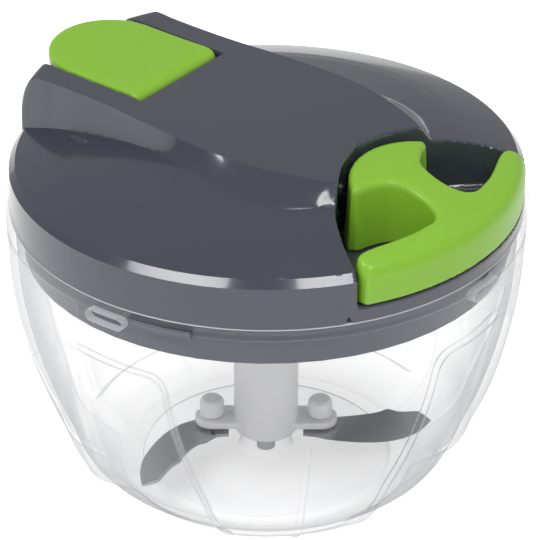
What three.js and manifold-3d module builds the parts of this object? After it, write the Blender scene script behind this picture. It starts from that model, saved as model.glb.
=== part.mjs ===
// Pull-cord food chopper: clear fluted bowl, twist-lock lid with a cord reel, and a rotor with two blades.
// Millimetres. +Z is up, +X is the way the handle is pulled, the origin is the middle of the bowl's foot.
// The lid is drawn seated and not yet turned to its lock.
import * as THREE from "three";
import { mergeVertices } from "three/addons/utils/BufferGeometryUtils.js";
import Module from "manifold-3d";

const wasm = await Module();
wasm.setup();

// Shared values
const OVERRUN = 1.5; // how far a cutting tool runs past what it cuts
const SEAT_GAP = 0.3; // between pieces that rest on each other
const RUN_GAP = 0.4; // between pieces that turn or slide past each other
const ROUND_STEPS = 52; // facets of the large rings
const HUB_STEPS = 28; // facets of the reel, the hub and the column
const PIN_STEPS = 16; // facets of pins
const SCREW_STEPS = 8; // facets of screws and their bosses

// Bowl
const RIM_R = 65;
const RIM_Z = 75.2;
const RIM_BEAD = 1; // how far the bead stands out from the band
const RIM_BEAD_H = 1.6;
const BAND_H = 7.7; // from the band's lower line up to the rim
const BOWL_WALL = 2;
const WALL_TOP_DOWN = 7.5; // from the band's lower line down to where the wall is upright
const BAND_STEP = 0.2; // how far the band stands out from the wall below it
const FOOT_R = 37.4;
const FOOT_RING_W = 5;
const FOOT_RECESS = 1.2;
const FLOOR_T = 2.6;
const FLUTE_DEPTH = 2.2;
const FLUTE_EDGE = 0.3; // how far the ridge beside a flute stands proud
const FLUTE_EDGE_W = 1.4;
const FLUTE_SLOPE_W = 3.4; // width of the slope round a flute
const FLUTE_CORNER_R = 6;
const PANEL_RIB_W = 1.3;
const PANEL_RIB_H = 0.7;
const PANEL_RIB_TOP_DOWN = 25;
const BOWL_BOSS_R = 6.5;
const BOWL_BOSS_Z = 7.2;
const WINDOW_W = 11;
const WINDOW_H = 3;
const WINDOW_DOWN = 3.7; // from the rim down to the windows' middle
const LUG_W = 7;
const LUG_H = 1.4;
const LUG_REACH = 1.7; // how far a bowl lug stands in from the band's wall
const PIVOT_R = 2.4;
const PIVOT_LEN = 22.1;
const PIVOT_SEAT_Z = 1.6;

// Lid shells
const LID_SET_IN = 1.5; // how far the lid lies inside the rim
const LID_GAP = 1; // line between rim and lid
const LID_WALL = 2.2;
const LID_FACE_H = 10.1;
const LID_DRAFT = 0.5;
const SHOULDER_W = 1.5;
const SHOULDER_H = 1.8;
const DOME_RISE = 9.9;
const CREASE_DIP = 0.5;
const PLATE_T = 1.6;
const SKIRT_GAP = 1.8; // between the skirt and the bowl's band
const SKIRT_WALL = 1.8;
const SKIRT_H = 11.2; // below the lid's lower edge
const TONGUE_W_DEG = 15;
const TONGUE_H = 2.2;
const LOCK_TURN_DEG = 12;
const MARK_DEG = -34;
const MARK_SIZE = 1.6;

// Bridge over the reel
const BRIDGE_RISE = 2; // above the dome's crown, over the axis
const BRIDGE_SLOPE = 0.05;
const BRIDGE_FRONT_DROP = 0.6; // at the front end, below the slope
const BRIDGE_EDGE = 1.1;
const BRIDGE_END_IN = 0.8; // how far the bridge's outer end lies inside the lid's edge
const BRIDGE_END_H = 12.4; // height of its rounded outer end
const BRIDGE_END_W = 9;
const FLANK_BACK_RUN = 2;
const FLANK_FRONT_RUN = 7;

// Handle and its pocket
const HANDLE_IN = 0.3; // how far the handle's face lies inside the lid's edge
const HANDLE_HALF_DEG = 33;
const HANDLE_BACK_H = 15.2;
const HANDLE_FRONT_H = 10.2;
const HANDLE_EDGE = 2.2;
const POCKET_GAP = 1.9;
const POCKET_LINER = 1.8;
const POCKET_FLOOR_T = 1.1;

// Cord, reel and its spring
const CORD_R = 0.75;
const CORD_RISE = 4.7; // above the handle's underside
const CORD_TURNS = 2.4;
const CORD_PITCH = 1.95;
const CORD_STEPS = 24;
const CORD_SIDES = 6;
const AXLE_R = 2;
const REEL_RUN = 0.7; // between the reel and the wall round it
const REEL_GROOVE_DEPTH = 6;
const REEL_FLANGE_T = 1.4;
const REEL_GROOVE_H = 3.2;
const REEL_HUB_R = 4.4;
const RATCHET_TOOTH = 1.8;
const RATCHET_TEETH = 12;
const RATCHET_DEPTH = 3;
const HUB_R = 9.6;
const HUB_SOCKET_R = 8;
const HUB_SOCKET_DOWN = 1.2; // from the lid's lower edge down to the socket's roof
const HUB_SOCKET_DEPTH = 12.2;
const HUB_ROOF_T = 2.2;
const HUB_LIP = 3.4;
const HUB_FLANGE_T = 1.6;
const PAWL_T = 2.2;
const PAWL_DEG = 60;
const CLAW_DEG = 30;
const CLAW_H = 7;
const BUSHING_WALL = 1.4;
const BUSHING_H = 5.8;
const SEAL_H = 1.5;
const SEAL_W = 2.6;
const COLLAR_WALL = 2;
const REEL_WALL_T = 1.5;
const REEL_WALL_GAP_DEG = 40; // open on each side of the cord's way out
const SPRING_FLOOR_T = 1;
const SPRING_CUP_WALL = 1.3;
const SPRING_W = 3.8;
const SPRING_STRIP = 0.6;
const SPRING_TURNS = 4;
const SPRING_STEPS = 20;
const SPRING_IN_R = 5.4;
const COVER_T = 0.8;
const EYELET_R = 2.3;
const EYELET_BORE_R = 1.35;
const EYELET_FLANGE_R = 3.3;
const EYELET_FLANGE_T = 0.7;
const KNOT_R = 2.2;
const KNOT_IN = 9.3; // from the handle's back to the knot
const KNOT_STEPS = 12;
const KNOT_ROOM_R = 3;
const PLUG_T = 1.6;

// Release button and its catch
const BUTTON_END_LEN = 14.5;
const BUTTON_PROUD = 0.9; // above the bridge at its inner edge
const BUTTON_RISE = 1.8; // from its inner edge to its outer end
const BUTTON_T = 3.2;
const BUTTON_EDGE = 1.1;
const BUTTON_GAP = 0.5;
const BUTTON_PRESS_DEG = 4;
const WELL_DEPTH = 3.5; // below the bridge's top over the axis
const WELL_LINER = 1.8;
const BUTTON_PIN_R = 1;
const BUTTON_LUG_R = 2.2;
const BUTTON_SPRING_R = 2.7;
const BUTTON_WIRE_R = 0.4;
const BUTTON_SPRING_TURNS = 5;
const BUTTON_SPRING_STEPS = 8;
const BUTTON_WIRE_SIDES = 5;
const SPRING_WELL_R = 3.6;
const SPRING_WELL_DEPTH = 6.5;
const LEG_SET_IN = 2.6; // from the skirt in to the button's leg, which stands in the catch's fork
const LEG_T = 1.8;
const LEG_HALF_W = 2.8;
const CATCH_HALF_W = 2.5;
const CATCH_T = 1.6;
const CATCH_LEN = 7.5;
const CATCH_FINGER_T = 2.4;
const CATCH_TOOTH_REACH = 1.3;
const CATCH_TRAVEL = 1.2;
const FORK_WALL = 1.4;
const FORK_H = 4.4;

// Screws
const LID_SCREW_IN = 12.5; // from the lid's edge in to its screws
const LID_SCREW = { shankR: 1.5, headR: 2.9, headT: 1.6, length: 9, bossR: 3.8 };
const LID_SCREW_DEGS = [52, 118, 242, 308];
const HOUSING_SCREW_OUT = 3.2; // from the reel's wall out to its screws
const HOUSING_SCREW = { shankR: 1, headR: 2, headT: 1.2, length: 5, bossR: 2.8 };
const HOUSING_SCREW_DEGS = [90, 180, 270];

// Rotor
const ROTOR_DEG = 35.8; // where the rotor happens to stand
const COLUMN_R = 8.25;
const COLUMN_EDGE = 1;
const COLUMN_LIFT = 0.7; // above the bowl's boss
const COLUMN_BORE_R = 2.8;
const SPIGOT_R = 5.2;
const SPIGOT_DOWN = 1; // from the socket's roof down to the spigot
const TAB_R = 14;
const TAB_END_R = 4.4;
const TAB_T = 1.9;
const STUD_R = 3;
const STUD_H = 5.1; // head above the tab
const STUD_EDGE = 1;
const STUD_SHANK_R = 1.6;
const BLADE_T = 1;
const BLADE_W = 10.5;
const BLADE_REACH = 41;
const BLADE_HEEL = 4.4; // from the stud in to the blade's end
const BLADE_HOLE_R = 2.1;
const BLADE_TIP_RISE = 1.5;
const BLADE_TWIST_DEG = 15;
const BLADE_STATIONS = 14;

// Plan sizes inside the lid, as shares of the lid's radius
const LID_PLAN_SHARES = {
  crease: 0.724,
  bridgeBackHalfW: 0.372,
  bridgeMidHalfW: 0.409,
  bridgeFrontHalfW: 0.276,
  bridgeFront: 0.52,
  handleCore: 0.748,
  handleCoreR: 0.304,
  reelWall: 0.397,
  buttonInner: 0.4126,
  buttonHalfW: 0.263,
  buttonPin: 0.488,
  buttonSpring: 0.787,
};
const RATCHET_SHARE = 0.82; // of the reel's core
const PAWL_DISC_SHARE = 0.54; // of the ratchet

// Places that follow from the sizes above
const BAND_Z = RIM_Z - BAND_H;
const WALL_TOP_Z = BAND_Z - WALL_TOP_DOWN;
const FLUTE_TOP_Z = WALL_TOP_Z;
const PANEL_RIB_TOP_Z = BAND_Z - PANEL_RIB_TOP_DOWN;
const WINDOW_Z = RIM_Z - WINDOW_DOWN;
const PIVOT_TOP_Z = PIVOT_SEAT_Z + SEAT_GAP + PIVOT_LEN;
const BAND_R = RIM_R - RIM_BEAD;
const BAND_IN_R = BAND_R - BOWL_WALL;
const WALL_TOP_R = BAND_R - BAND_STEP;
const SKIRT_R = BAND_IN_R - SKIRT_GAP;
const SKIRT_IN_R = SKIRT_R - SKIRT_WALL;
const LID_R = RIM_R - LID_SET_IN;
const LID_Z = RIM_Z + LID_GAP;
const CREASE_R = LID_R * LID_PLAN_SHARES.crease;
const BRIDGE_BACK_HALF_W = LID_R * LID_PLAN_SHARES.bridgeBackHalfW;
const BRIDGE_MID_HALF_W = LID_R * LID_PLAN_SHARES.bridgeMidHalfW;
const BRIDGE_FRONT_HALF_W = LID_R * LID_PLAN_SHARES.bridgeFrontHalfW;
const BRIDGE_FRONT_X = LID_R * LID_PLAN_SHARES.bridgeFront;
const SHOULDER_R = LID_R - LID_DRAFT;
const SHOULDER_Z = LID_Z + LID_FACE_H;
const DOME_EDGE_R = SHOULDER_R - SHOULDER_W;
const DOME_EDGE_Z = SHOULDER_Z + SHOULDER_H;
const DOME_CROWN_Z = DOME_EDGE_Z + DOME_RISE;
const BRIDGE_TOP_Z = DOME_CROWN_Z + BRIDGE_RISE;
const BRIDGE_END_R = LID_R - BRIDGE_END_IN;
const PLATE_Z = LID_Z + RUN_GAP;
const PLATE_TOP_Z = PLATE_Z + PLATE_T;
const SHELL_LOW_Z = PLATE_TOP_Z + SEAT_GAP; // where the upper shell's liners and bosses end
const SKIRT_BOTTOM_Z = LID_Z - SKIRT_H;
const POCKET_FLOOR_Z = SHELL_LOW_Z + POCKET_FLOOR_T;
const HANDLE_CORE_X = LID_R * LID_PLAN_SHARES.handleCore; // centre of the round back of the core
const HANDLE_CORE_R = LID_R * LID_PLAN_SHARES.handleCoreR;
const POCKET_BACK_X = HANDLE_CORE_X - HANDLE_CORE_R - POCKET_GAP;
const HANDLE_BOTTOM_Z = POCKET_FLOOR_Z + RUN_GAP;
const HANDLE_BACK_X = HANDLE_CORE_X - HANDLE_CORE_R;
const HANDLE_R = LID_R - HANDLE_IN;
const KNOT_X = HANDLE_BACK_X + KNOT_IN;
const CORD_Z = HANDLE_BOTTOM_Z + CORD_RISE;
const EYELET_IN_X = POCKET_BACK_X - POCKET_LINER;
const REEL_WALL_R = LID_R * LID_PLAN_SHARES.reelWall;
const REEL_FLANGE_R = REEL_WALL_R - REEL_WALL_T - REEL_RUN;
const REEL_CORE_R = REEL_FLANGE_R - REEL_GROOVE_DEPTH;
const RATCHET_R = REEL_CORE_R * RATCHET_SHARE;
const PAWL_DISC_R = RATCHET_R * PAWL_DISC_SHARE;
const HUB_FLANGE_R = HUB_R + HUB_LIP;
const HUB_SOCKET_TOP_Z = LID_Z - HUB_SOCKET_DOWN;
const HUB_LOW_Z = HUB_SOCKET_TOP_Z - HUB_SOCKET_DEPTH;
const HUB_FLANGE_TOP_Z = SHELL_LOW_Z + HUB_FLANGE_T;
const REEL_LOW_Z = HUB_FLANGE_TOP_Z + RUN_GAP;
const RATCHET_TOP_Z = REEL_LOW_Z + RATCHET_DEPTH;
const REEL_TOP_Z = CORD_Z + REEL_GROOVE_H / 2 + REEL_FLANGE_T;
const REEL_WALL_TOP_Z = REEL_TOP_Z + RUN_GAP;
const CUP_LOW_Z = REEL_WALL_TOP_Z + SEAT_GAP;
const CUP_FLOOR_Z = CUP_LOW_Z + SPRING_FLOOR_T;
const SPRING_LOW_Z = CUP_FLOOR_Z + SEAT_GAP;
const CUP_TOP_Z = SPRING_LOW_Z + SPRING_W + SEAT_GAP;
const COVER_LOW_Z = CUP_TOP_Z + SEAT_GAP;
const CUP_R = REEL_WALL_R - REEL_WALL_T - RUN_GAP;
const BUSHING_R = HUB_R + RUN_GAP + BUSHING_WALL;
const BUSHING_LOW_Z = PLATE_TOP_Z - BUSHING_H;
const SHAFT_SEAL_R = HUB_R + RUN_GAP + SEAL_W;
const AXLE_SEAT_Z = HUB_SOCKET_TOP_Z + HUB_ROOF_T;
const BUTTON_IN_X = -LID_R * LID_PLAN_SHARES.buttonInner;
const BUTTON_HALF_W = LID_R * LID_PLAN_SHARES.buttonHalfW;
const BUTTON_END_X = BUTTON_END_LEN - LID_R; // where its rounded end starts
const BUTTON_PIN_X = -LID_R * LID_PLAN_SHARES.buttonPin;
const BUTTON_SPRING_X = -LID_R * LID_PLAN_SHARES.buttonSpring;
const LEG_IN_R = SKIRT_IN_R - LEG_SET_IN;
const LID_SCREW_R = LID_R - LID_SCREW_IN;
const HOUSING_SCREW_R = REEL_WALL_R + HOUSING_SCREW_OUT;
const WELL_FLOOR_Z = BRIDGE_TOP_Z - WELL_DEPTH;
const SPRING_WELL_Z = WELL_FLOOR_Z - SPRING_WELL_DEPTH;
const BUTTON_PIN_HALF = BUTTON_HALF_W + BUTTON_GAP + WELL_LINER / 2;
const BUTTON_PIN_Z = WELL_FLOOR_Z + RUN_GAP + BUTTON_LUG_R;
const BUTTON_OUT_X = -LID_R;
const CATCH_DEG = 180 + LOCK_TURN_DEG;
const CATCH_LOW_Z = SHELL_LOW_Z;
const CATCH_TOP_Z = CATCH_LOW_Z + CATCH_T;
const FINGER_R = SKIRT_IN_R - RUN_GAP - CATCH_TRAVEL;
const FORK_IN_R = LEG_IN_R - RUN_GAP;
const FORK_OUT_R = LEG_IN_R + LEG_T + RUN_GAP;
const COLUMN_TOP_Z = HUB_LOW_Z - 2 * SEAT_GAP;
const SPIGOT_TOP_Z = HUB_SOCKET_TOP_Z - SPIGOT_DOWN;
const COLUMN_LOW_Z = BOWL_BOSS_Z + COLUMN_LIFT;
const BLADE_ROOT_Z = COLUMN_LOW_Z + BLADE_T / 2;
const TAB_Z = BLADE_ROOT_Z + BLADE_T / 2 + COLUMN_LIFT;
const SPIGOT_CLAW_Z = SPIGOT_TOP_Z - COLUMN_EDGE - CLAW_H;
const CLEAR_Z = BRIDGE_TOP_Z + HANDLE_FRONT_H; // above everything, where upward cuts end

// Turns degrees into radians.
const rad = (deg) => (deg * Math.PI) / 180;

// A place on a circle about the axis.
const onRing = (radius, deg) => [radius * Math.cos(rad(deg)), radius * Math.sin(rad(deg))];

// A value held between two others.
const between = (low, value, high) => Math.min(high, Math.max(low, value));

// A smooth step from 0 to 1.
const ease = (share) => share * share * (3 - 2 * share);

// Plan points as vectors.
const planPoints = (points) => points.map(([x, y]) => new THREE.Vector2(x, y));

// A closed mesh as a solid, with its faces turned outward.
function solidFrom(geometry) {
  const bare = geometry.index ? geometry.toNonIndexed() : geometry.clone();
  bare.deleteAttribute("normal");
  bare.deleteAttribute("uv");
  const merged = mergeVertices(bare);
  const index = merged.index.array;
  const kept = [];
  for (let i = 0; i < index.length; i += 3) {
    const [a, b, c] = [index[i], index[i + 1], index[i + 2]];
    if (a !== b && b !== c && c !== a) kept.push([a, b, c]);
  }
  const build = (triangles) =>
    new wasm.Manifold(
      new wasm.Mesh({
        numProp: 3,
        vertProperties: merged.attributes.position.array,
        triVerts: new Uint32Array(triangles.flat()),
      }),
    );
  const solid = build(kept);
  return solid.volume() >= 0 ? solid : build(kept.map(([a, b, c]) => [a, c, b]));
}

// The mesh of a solid.
function geometryOf(solid) {
  const mesh = solid.getMesh();
  const places = new Float32Array(3 * mesh.numVert);
  for (let i = 0; i < mesh.numVert; i++) {
    const from = mesh.numProp * i;
    places.set(mesh.vertProperties.subarray(from, from + 3), 3 * i);
  }
  return new THREE.BufferGeometry()
    .setAttribute("position", new THREE.BufferAttribute(places, 3))
    .setIndex(new THREE.BufferAttribute(new Uint32Array(mesh.triVerts), 1));
}

// All the solids as one.
const union = (solids) => solids.reduce((sum, solid) => sum.add(solid));

// A solid turned about Z.
const turned = (solid, deg) => solid.rotate([0, 0, deg]);

// A revolved profile of [radius, height] pairs that starts and ends on the axis or closes on itself.
function lathe(profile, steps = ROUND_STEPS) {
  const points = profile.map(([r, z]) => new THREE.Vector2(r, z));
  return solidFrom(new THREE.LatheGeometry(points, steps, Math.PI / 2).rotateX(Math.PI / 2));
}

// A ring with a square section.
function ring(rIn, rOut, zLow, zHigh, steps = ROUND_STEPS) {
  const corners = [
    [rIn, zLow],
    [rOut, zLow],
    [rOut, zHigh],
    [rIn, zHigh],
  ];
  return lathe([...corners, corners[0]], steps);
}

// A round rod along Z.
function rod(radius, zLow, zHigh, [x, y] = [0, 0], steps = PIN_STEPS) {
  const height = zHigh - zLow;
  const geometry = new THREE.CylinderGeometry(radius, radius, height, steps);
  return solidFrom(geometry.rotateX(Math.PI / 2).translate(x, y, zLow + height / 2));
}

// A round rod along X.
function rodX(radius, xLow, xHigh, y, z) {
  const length = xHigh - xLow;
  const geometry = new THREE.CylinderGeometry(radius, radius, length, PIN_STEPS);
  return solidFrom(geometry.rotateZ(Math.PI / 2).translate(xLow + length / 2, y, z));
}

// A round rod along Y, even about the middle.
function rodY(radius, halfLength, x, z) {
  const geometry = new THREE.CylinderGeometry(radius, radius, 2 * halfLength, PIN_STEPS);
  return solidFrom(geometry.translate(x, 0, z));
}

// A block given by its lowest and highest corners.
function block(low, high) {
  const size = high.map((v, i) => v - low[i]);
  const middle = high.map((v, i) => (v + low[i]) / 2);
  return solidFrom(new THREE.BoxGeometry(...size).translate(...middle));
}

// A block that lies along a bearing, even about it.
function bearingBlock(deg, halfW, [rIn, rOut], [zLow, zHigh]) {
  return turned(block([rIn, -halfW, zLow], [rOut, halfW, zHigh]), deg);
}

// A plan outline raised from one height to another.
function prism(points, zLow, zHigh) {
  const shape = new THREE.Shape(planPoints(points));
  const geometry = new THREE.ExtrudeGeometry(shape, { depth: zHigh - zLow, bevelEnabled: false });
  return solidFrom(geometry.translate(0, 0, zLow));
}

// The plan between two bearings, out to a radius.
function sector(radius, fromDeg, toDeg, zLow, zHigh) {
  const steps = Math.ceil((toDeg - fromDeg) / CLAW_DEG) + 1;
  const points = [[0, 0]];
  for (let i = 0; i <= steps; i++) points.push(onRing(radius, fromDeg + ((toDeg - fromDeg) * i) / steps));
  return prism(points, zLow, zHigh);
}

// The points of a flat ring in its own plane.
function flatten(points) {
  const at = points.map((p) => new THREE.Vector3(...p));
  const middle = at.reduce((sum, p) => sum.add(p), new THREE.Vector3()).divideScalar(at.length);
  const spokes = at.map((p) => p.sub(middle));
  const normal = new THREE.Vector3();
  spokes.forEach((p, i) => normal.add(p.clone().cross(spokes[(i + 1) % spokes.length])));
  normal.normalize();
  const across = spokes[0].clone().projectOnPlane(normal).normalize();
  const up = normal.clone().cross(across);
  return spokes.map((p) => new THREE.Vector2(p.dot(across), p.dot(up)));
}

// Rings of points, each with the same count, skinned into one body with a flat cap at each end.
function skin(rings) {
  const size = rings[0].length;
  const triangles = [];
  for (let i = 0; i + 1 < rings.length; i++) {
    for (let j = 0; j < size; j++) {
      const k = (j + 1) % size;
      const [a, b] = [i * size, (i + 1) * size];
      triangles.push([a + j, a + k, b + k], [a + j, b + k, b + j]);
    }
  }
  const cap = (at, flip) =>
    THREE.ShapeUtils.triangulateShape(flatten(rings[at]), []).forEach(([a, b, c]) => {
      const corners = [at * size + a, at * size + b, at * size + c];
      triangles.push(flip ? corners.reverse() : corners);
    });
  cap(0, true);
  cap(rings.length - 1, false);
  const geometry = new THREE.BufferGeometry()
    .setAttribute("position", new THREE.Float32BufferAttribute(rings.flat(2), 3))
    .setIndex(triangles.flat());
  return solidFrom(geometry);
}

// A round tube along a list of points.
function tube(path, radius, sides) {
  const points = path.map((p) => new THREE.Vector3(...p));
  const rings = points.map((p, i) => {
    const before = points[Math.max(0, i - 1)];
    const after = points[Math.min(points.length - 1, i + 1)];
    const along = after.clone().sub(before).normalize();
    const across = new THREE.Vector3(-along.y, along.x, 0).normalize();
    const rise = along.clone().cross(across);
    return Array.from({ length: sides }, (_, k) => {
      const turn = (2 * Math.PI * (k + 1 / 2)) / sides;
      const q = p.clone().addScaledVector(across, radius * Math.cos(turn));
      return q.addScaledVector(rise, radius * Math.sin(turn)).toArray();
    });
  });
  return skin(rings);
}

// Prints the least gap between the turns of a wound tube, measured on its points.
function printLeastGap(what, path, thickness, stepsPerTurn) {
  let least = Infinity;
  path.forEach((a, i) =>
    path.slice(i + Math.ceil(stepsPerTurn / 2)).forEach((b) => {
      least = Math.min(least, Math.hypot(a[0] - b[0], a[1] - b[1], a[2] - b[2]) - thickness);
    }),
  );
  console.log(what + ": least gap to itself " + least.toFixed(2) + " mm");
}

// Bowl

const FLUTE_COUNT = 4;

// Outer profile of the wall: how far from the foot's edge out to the band, and how far up.
const WALL_SHARES = [
  [0, 0],
  [0.14, 0.05],
  [0.311, 0.093],
  [0.447, 0.15],
  [0.53, 0.217],
  [0.606, 0.313],
  [0.814, 0.563],
  [0.981, 0.878],
  [1, 1],
];
const WALL_PROFILE = WALL_SHARES.map(([out, up]) => [
  FOOT_R + (WALL_TOP_R - FOOT_R) * out,
  WALL_TOP_Z * up,
]);

// Radius of the outer wall at a height.
function wallR(z) {
  const i = between(1, WALL_PROFILE.findIndex(([, top]) => top >= z), WALL_PROFILE.length - 1);
  const [[rLow, zLow], [rHigh, zHigh]] = [WALL_PROFILE[i - 1], WALL_PROFILE[i]];
  return rLow + ((rHigh - rLow) * (z - zLow)) / (zHigh - zLow);
}

// Half the width of a flute in degrees at a height: it flares towards the foot and its upper corners are round.
const FLUTE_FOOT_DEG = 26;
const FLUTE_TOP_DEG = 14.6;
const FLUTE_FLARE_POWER = 1.6;
function fluteHalfDeg(z) {
  const flare = (1 - between(0, z / FLUTE_TOP_Z, 1)) ** FLUTE_FLARE_POWER;
  const intoCorner = between(0, z - (FLUTE_TOP_Z - FLUTE_CORNER_R), FLUTE_CORNER_R);
  const cut = FLUTE_CORNER_R - Math.sqrt(FLUTE_CORNER_R ** 2 - intoCorner ** 2);
  return FLUTE_TOP_DEG + (FLUTE_FOOT_DEG - FLUTE_TOP_DEG) * flare - (cut / WALL_TOP_R) * (180 / Math.PI);
}

// Depth of a flute at a height: it starts at the foot and slopes out at its top.
function fluteDepth(z) {
  const start = between(0, z / WALL_PROFILE[1][1], 1);
  return FLUTE_DEPTH * start * ease(between(0, (FLUTE_TOP_Z - z) / FLUTE_SLOPE_W, 1));
}

// Across half a flute: share of its half-width, share of its depth, and share of the edge's ridge.
const FLUTE_SECTION_SHARES = [
  [0, 1, 0],
  [0.45, 1, 0],
  [0.8, 0.96, 0],
  [1, 0, 1],
];
const PANEL_SHARES = [0, 0.33, 0.67, 1];
const RIB_FOOT_SHARE = 1.6; // half-width of the rib's foot over that of its top

// One level of the bowl. Its bearings follow the flutes' edges and the ribs.
function bowlRing(radius, z, { fluted = false, ribbed = false } = {}) {
  const degPerMm = 180 / Math.PI / radius;
  const middleDeg = 360 / FLUTE_COUNT / 2;
  const halfDeg = fluteHalfDeg(z);
  const depth = fluted ? fluteDepth(z) : 0;
  const ridge = (FLUTE_EDGE * depth) / FLUTE_DEPTH;
  const panelDeg = halfDeg + FLUTE_EDGE_W * degPerMm;
  const ribDeg = (PANEL_RIB_W / 2) * degPerMm;
  const panelEndDeg = middleDeg - RIB_FOOT_SHARE * ribDeg;
  const half = [
    ...FLUTE_SECTION_SHARES.map(([w, d, e]) => [w * halfDeg, e * ridge - d * depth]),
    ...PANEL_SHARES.map((w) => [panelDeg + (panelEndDeg - panelDeg) * w, 0]),
    [middleDeg - ribDeg, ribbed ? PANEL_RIB_H : 0],
  ];
  const mirrored = half.slice(1).map(([deg, lift]) => [-deg, lift]);
  const section = [...mirrored.reverse(), ...half];
  return Array.from({ length: FLUTE_COUNT }, (_, k) =>
    section.map(([deg, lift]) => [...onRing(radius + lift, deg + (k * 360) / FLUTE_COUNT), z]),
  ).flat();
}

function makeBowl() {
  const [, heel] = WALL_PROFILE;
  const ribLow = heel[1];
  const ribHigh = PANEL_RIB_TOP_Z;
  const slopeLow = FLUTE_TOP_Z - FLUTE_SLOPE_W;
  const shoulder = [slopeLow, slopeLow + FLUTE_SLOPE_W / 2];
  const plain = WALL_PROFILE.map(([, z]) => z);
  const levels = [...plain, ribHigh, ribHigh + PANEL_RIB_H, ...shoulder].sort((a, b) => a - b);
  const isRibbed = (z) => z >= ribLow && z <= ribHigh;
  const outer = levels.map((z) => bowlRing(wallR(z), z, { fluted: true, ribbed: isRibbed(z) }));
  const beadZ = RIM_Z - RIM_BEAD_H;
  const bevel = BOWL_WALL / 8;
  const rim = [
    [WALL_TOP_R, BAND_Z - bevel],
    [BAND_R, BAND_Z],
    [BAND_R, beadZ],
    [RIM_R, beadZ + 2 * bevel],
    [RIM_R, RIM_Z - bevel],
    [RIM_R - bevel, RIM_Z],
    [BAND_IN_R, RIM_Z],
    [BAND_IN_R, BAND_Z],
  ].map(([r, z]) => bowlRing(r, z));
  const innerLow = FLOOR_T + 2 * BOWL_WALL;
  const inner = [...plain, slopeLow]
    .filter((z) => z > innerLow)
    .sort((a, b) => b - a)
    .map((z) => bowlRing(wallR(z) - BOWL_WALL, z, { fluted: true }));
  const floor = [
    [heel[0] + BOWL_WALL / 2, innerLow],
    [heel[0] - BOWL_WALL, FLOOR_T + BOWL_WALL / 2],
    [FOOT_R - 2 * BOWL_WALL, FLOOR_T],
  ].map(([r, z]) => bowlRing(r, z));
  const under = [
    [FOOT_R - FOOT_RING_W - FOOT_RECESS, FOOT_RECESS],
    [FOOT_R - FOOT_RING_W, 0],
  ].map(([r, z]) => bowlRing(r, z));
  const boss = rod(BOWL_BOSS_R, FLOOR_T - FOOT_RECESS / 2, BOWL_BOSS_Z);
  const pinSeat = rod(PIVOT_R + SEAT_GAP / 2, PIVOT_SEAT_Z, BOWL_BOSS_Z + OVERRUN);
  let bowl = skin([...under, ...outer, ...rim, ...inner, ...floor]).add(boss).subtract(pinSeat);
  const lugZ = WINDOW_Z + WINDOW_H / 2;
  const lugSpan = [BAND_IN_R - LUG_REACH, BAND_R - BOWL_WALL / 2];
  for (let k = 0; k < FLUTE_COUNT; k++) {
    const deg = (k * 360) / FLUTE_COUNT;
    const lug = bearingBlock(deg, LUG_W / 2, lugSpan, [lugZ, lugZ + LUG_H]);
    bowl = bowl.add(lug).subtract(turned(windowCutter(), deg));
  }
  return bowl;
}

// A round-ended cutter through the band along X.
function windowCutter() {
  const endR = WINDOW_H / 2;
  const endY = WINDOW_W / 2 - endR;
  const [xLow, xHigh] = [BAND_IN_R - OVERRUN, BAND_R + OVERRUN];
  const ends = [-endY, endY].map((y) => rodX(endR, xLow, xHigh, y, WINDOW_Z));
  return block([xLow, -endY, WINDOW_Z - endR], [xHigh, endY, WINDOW_Z + endR])
    .add(ends[0])
    .add(ends[1]);
}

function makePivotPin() {
  return rod(PIVOT_R, PIVOT_SEAT_Z + SEAT_GAP, PIVOT_TOP_Z);
}

// Lid shells

// Height of the domed top at a radius, with a shallow dish inside the crease.
function domeZ(r) {
  const dish = CREASE_DIP * Math.sin(Math.PI * between(0, 2 * (1 - r / CREASE_R), 1));
  return DOME_CROWN_Z - DOME_RISE * (r / DOME_EDGE_R) ** 2 - dish;
}

// The round body of the lid, drawn in by an inset.
const DOME_SHARES = [1, 0.9, 0.8, 0.75, 0.64, 0.5, 0.36, 0.18, 0];
function lidRound(inset, zLow) {
  return lathe([
    [0, zLow],
    [LID_R - inset, zLow],
    [SHOULDER_R - inset, SHOULDER_Z - inset],
    [SHOULDER_R - inset - SHOULDER_W / 3, DOME_EDGE_Z - inset - SHOULDER_H / 3],
    ...DOME_SHARES.map((share) => [(DOME_EDGE_R - inset) * share, domeZ(DOME_EDGE_R * share) - inset]),
  ]);
}

// Height of the bridge's top at a place along it.
function bridgeZ(x) {
  const drop = x > 0 ? BRIDGE_FRONT_DROP * (x / BRIDGE_FRONT_X) ** 2 : 0;
  return BRIDGE_TOP_Z - BRIDGE_SLOPE * x - drop;
}

// Half the width of the bridge's top at a place along it.
function bridgeHalfW(x) {
  const [endHalfW, share] =
    x < 0
      ? [BRIDGE_BACK_HALF_W, Math.sqrt(-x / LID_R)]
      : [BRIDGE_FRONT_HALF_W, (x / BRIDGE_FRONT_X) ** 2];
  return BRIDGE_MID_HALF_W + (endHalfW - BRIDGE_MID_HALF_W) * share;
}

// How far the side of the bridge runs out before it meets the dome.
function flankRun(x) {
  const share = ease(between(0, x / BRIDGE_FRONT_X + 1 / 3, 1));
  return FLANK_BACK_RUN + (FLANK_FRONT_RUN - FLANK_BACK_RUN) * share;
}

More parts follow.
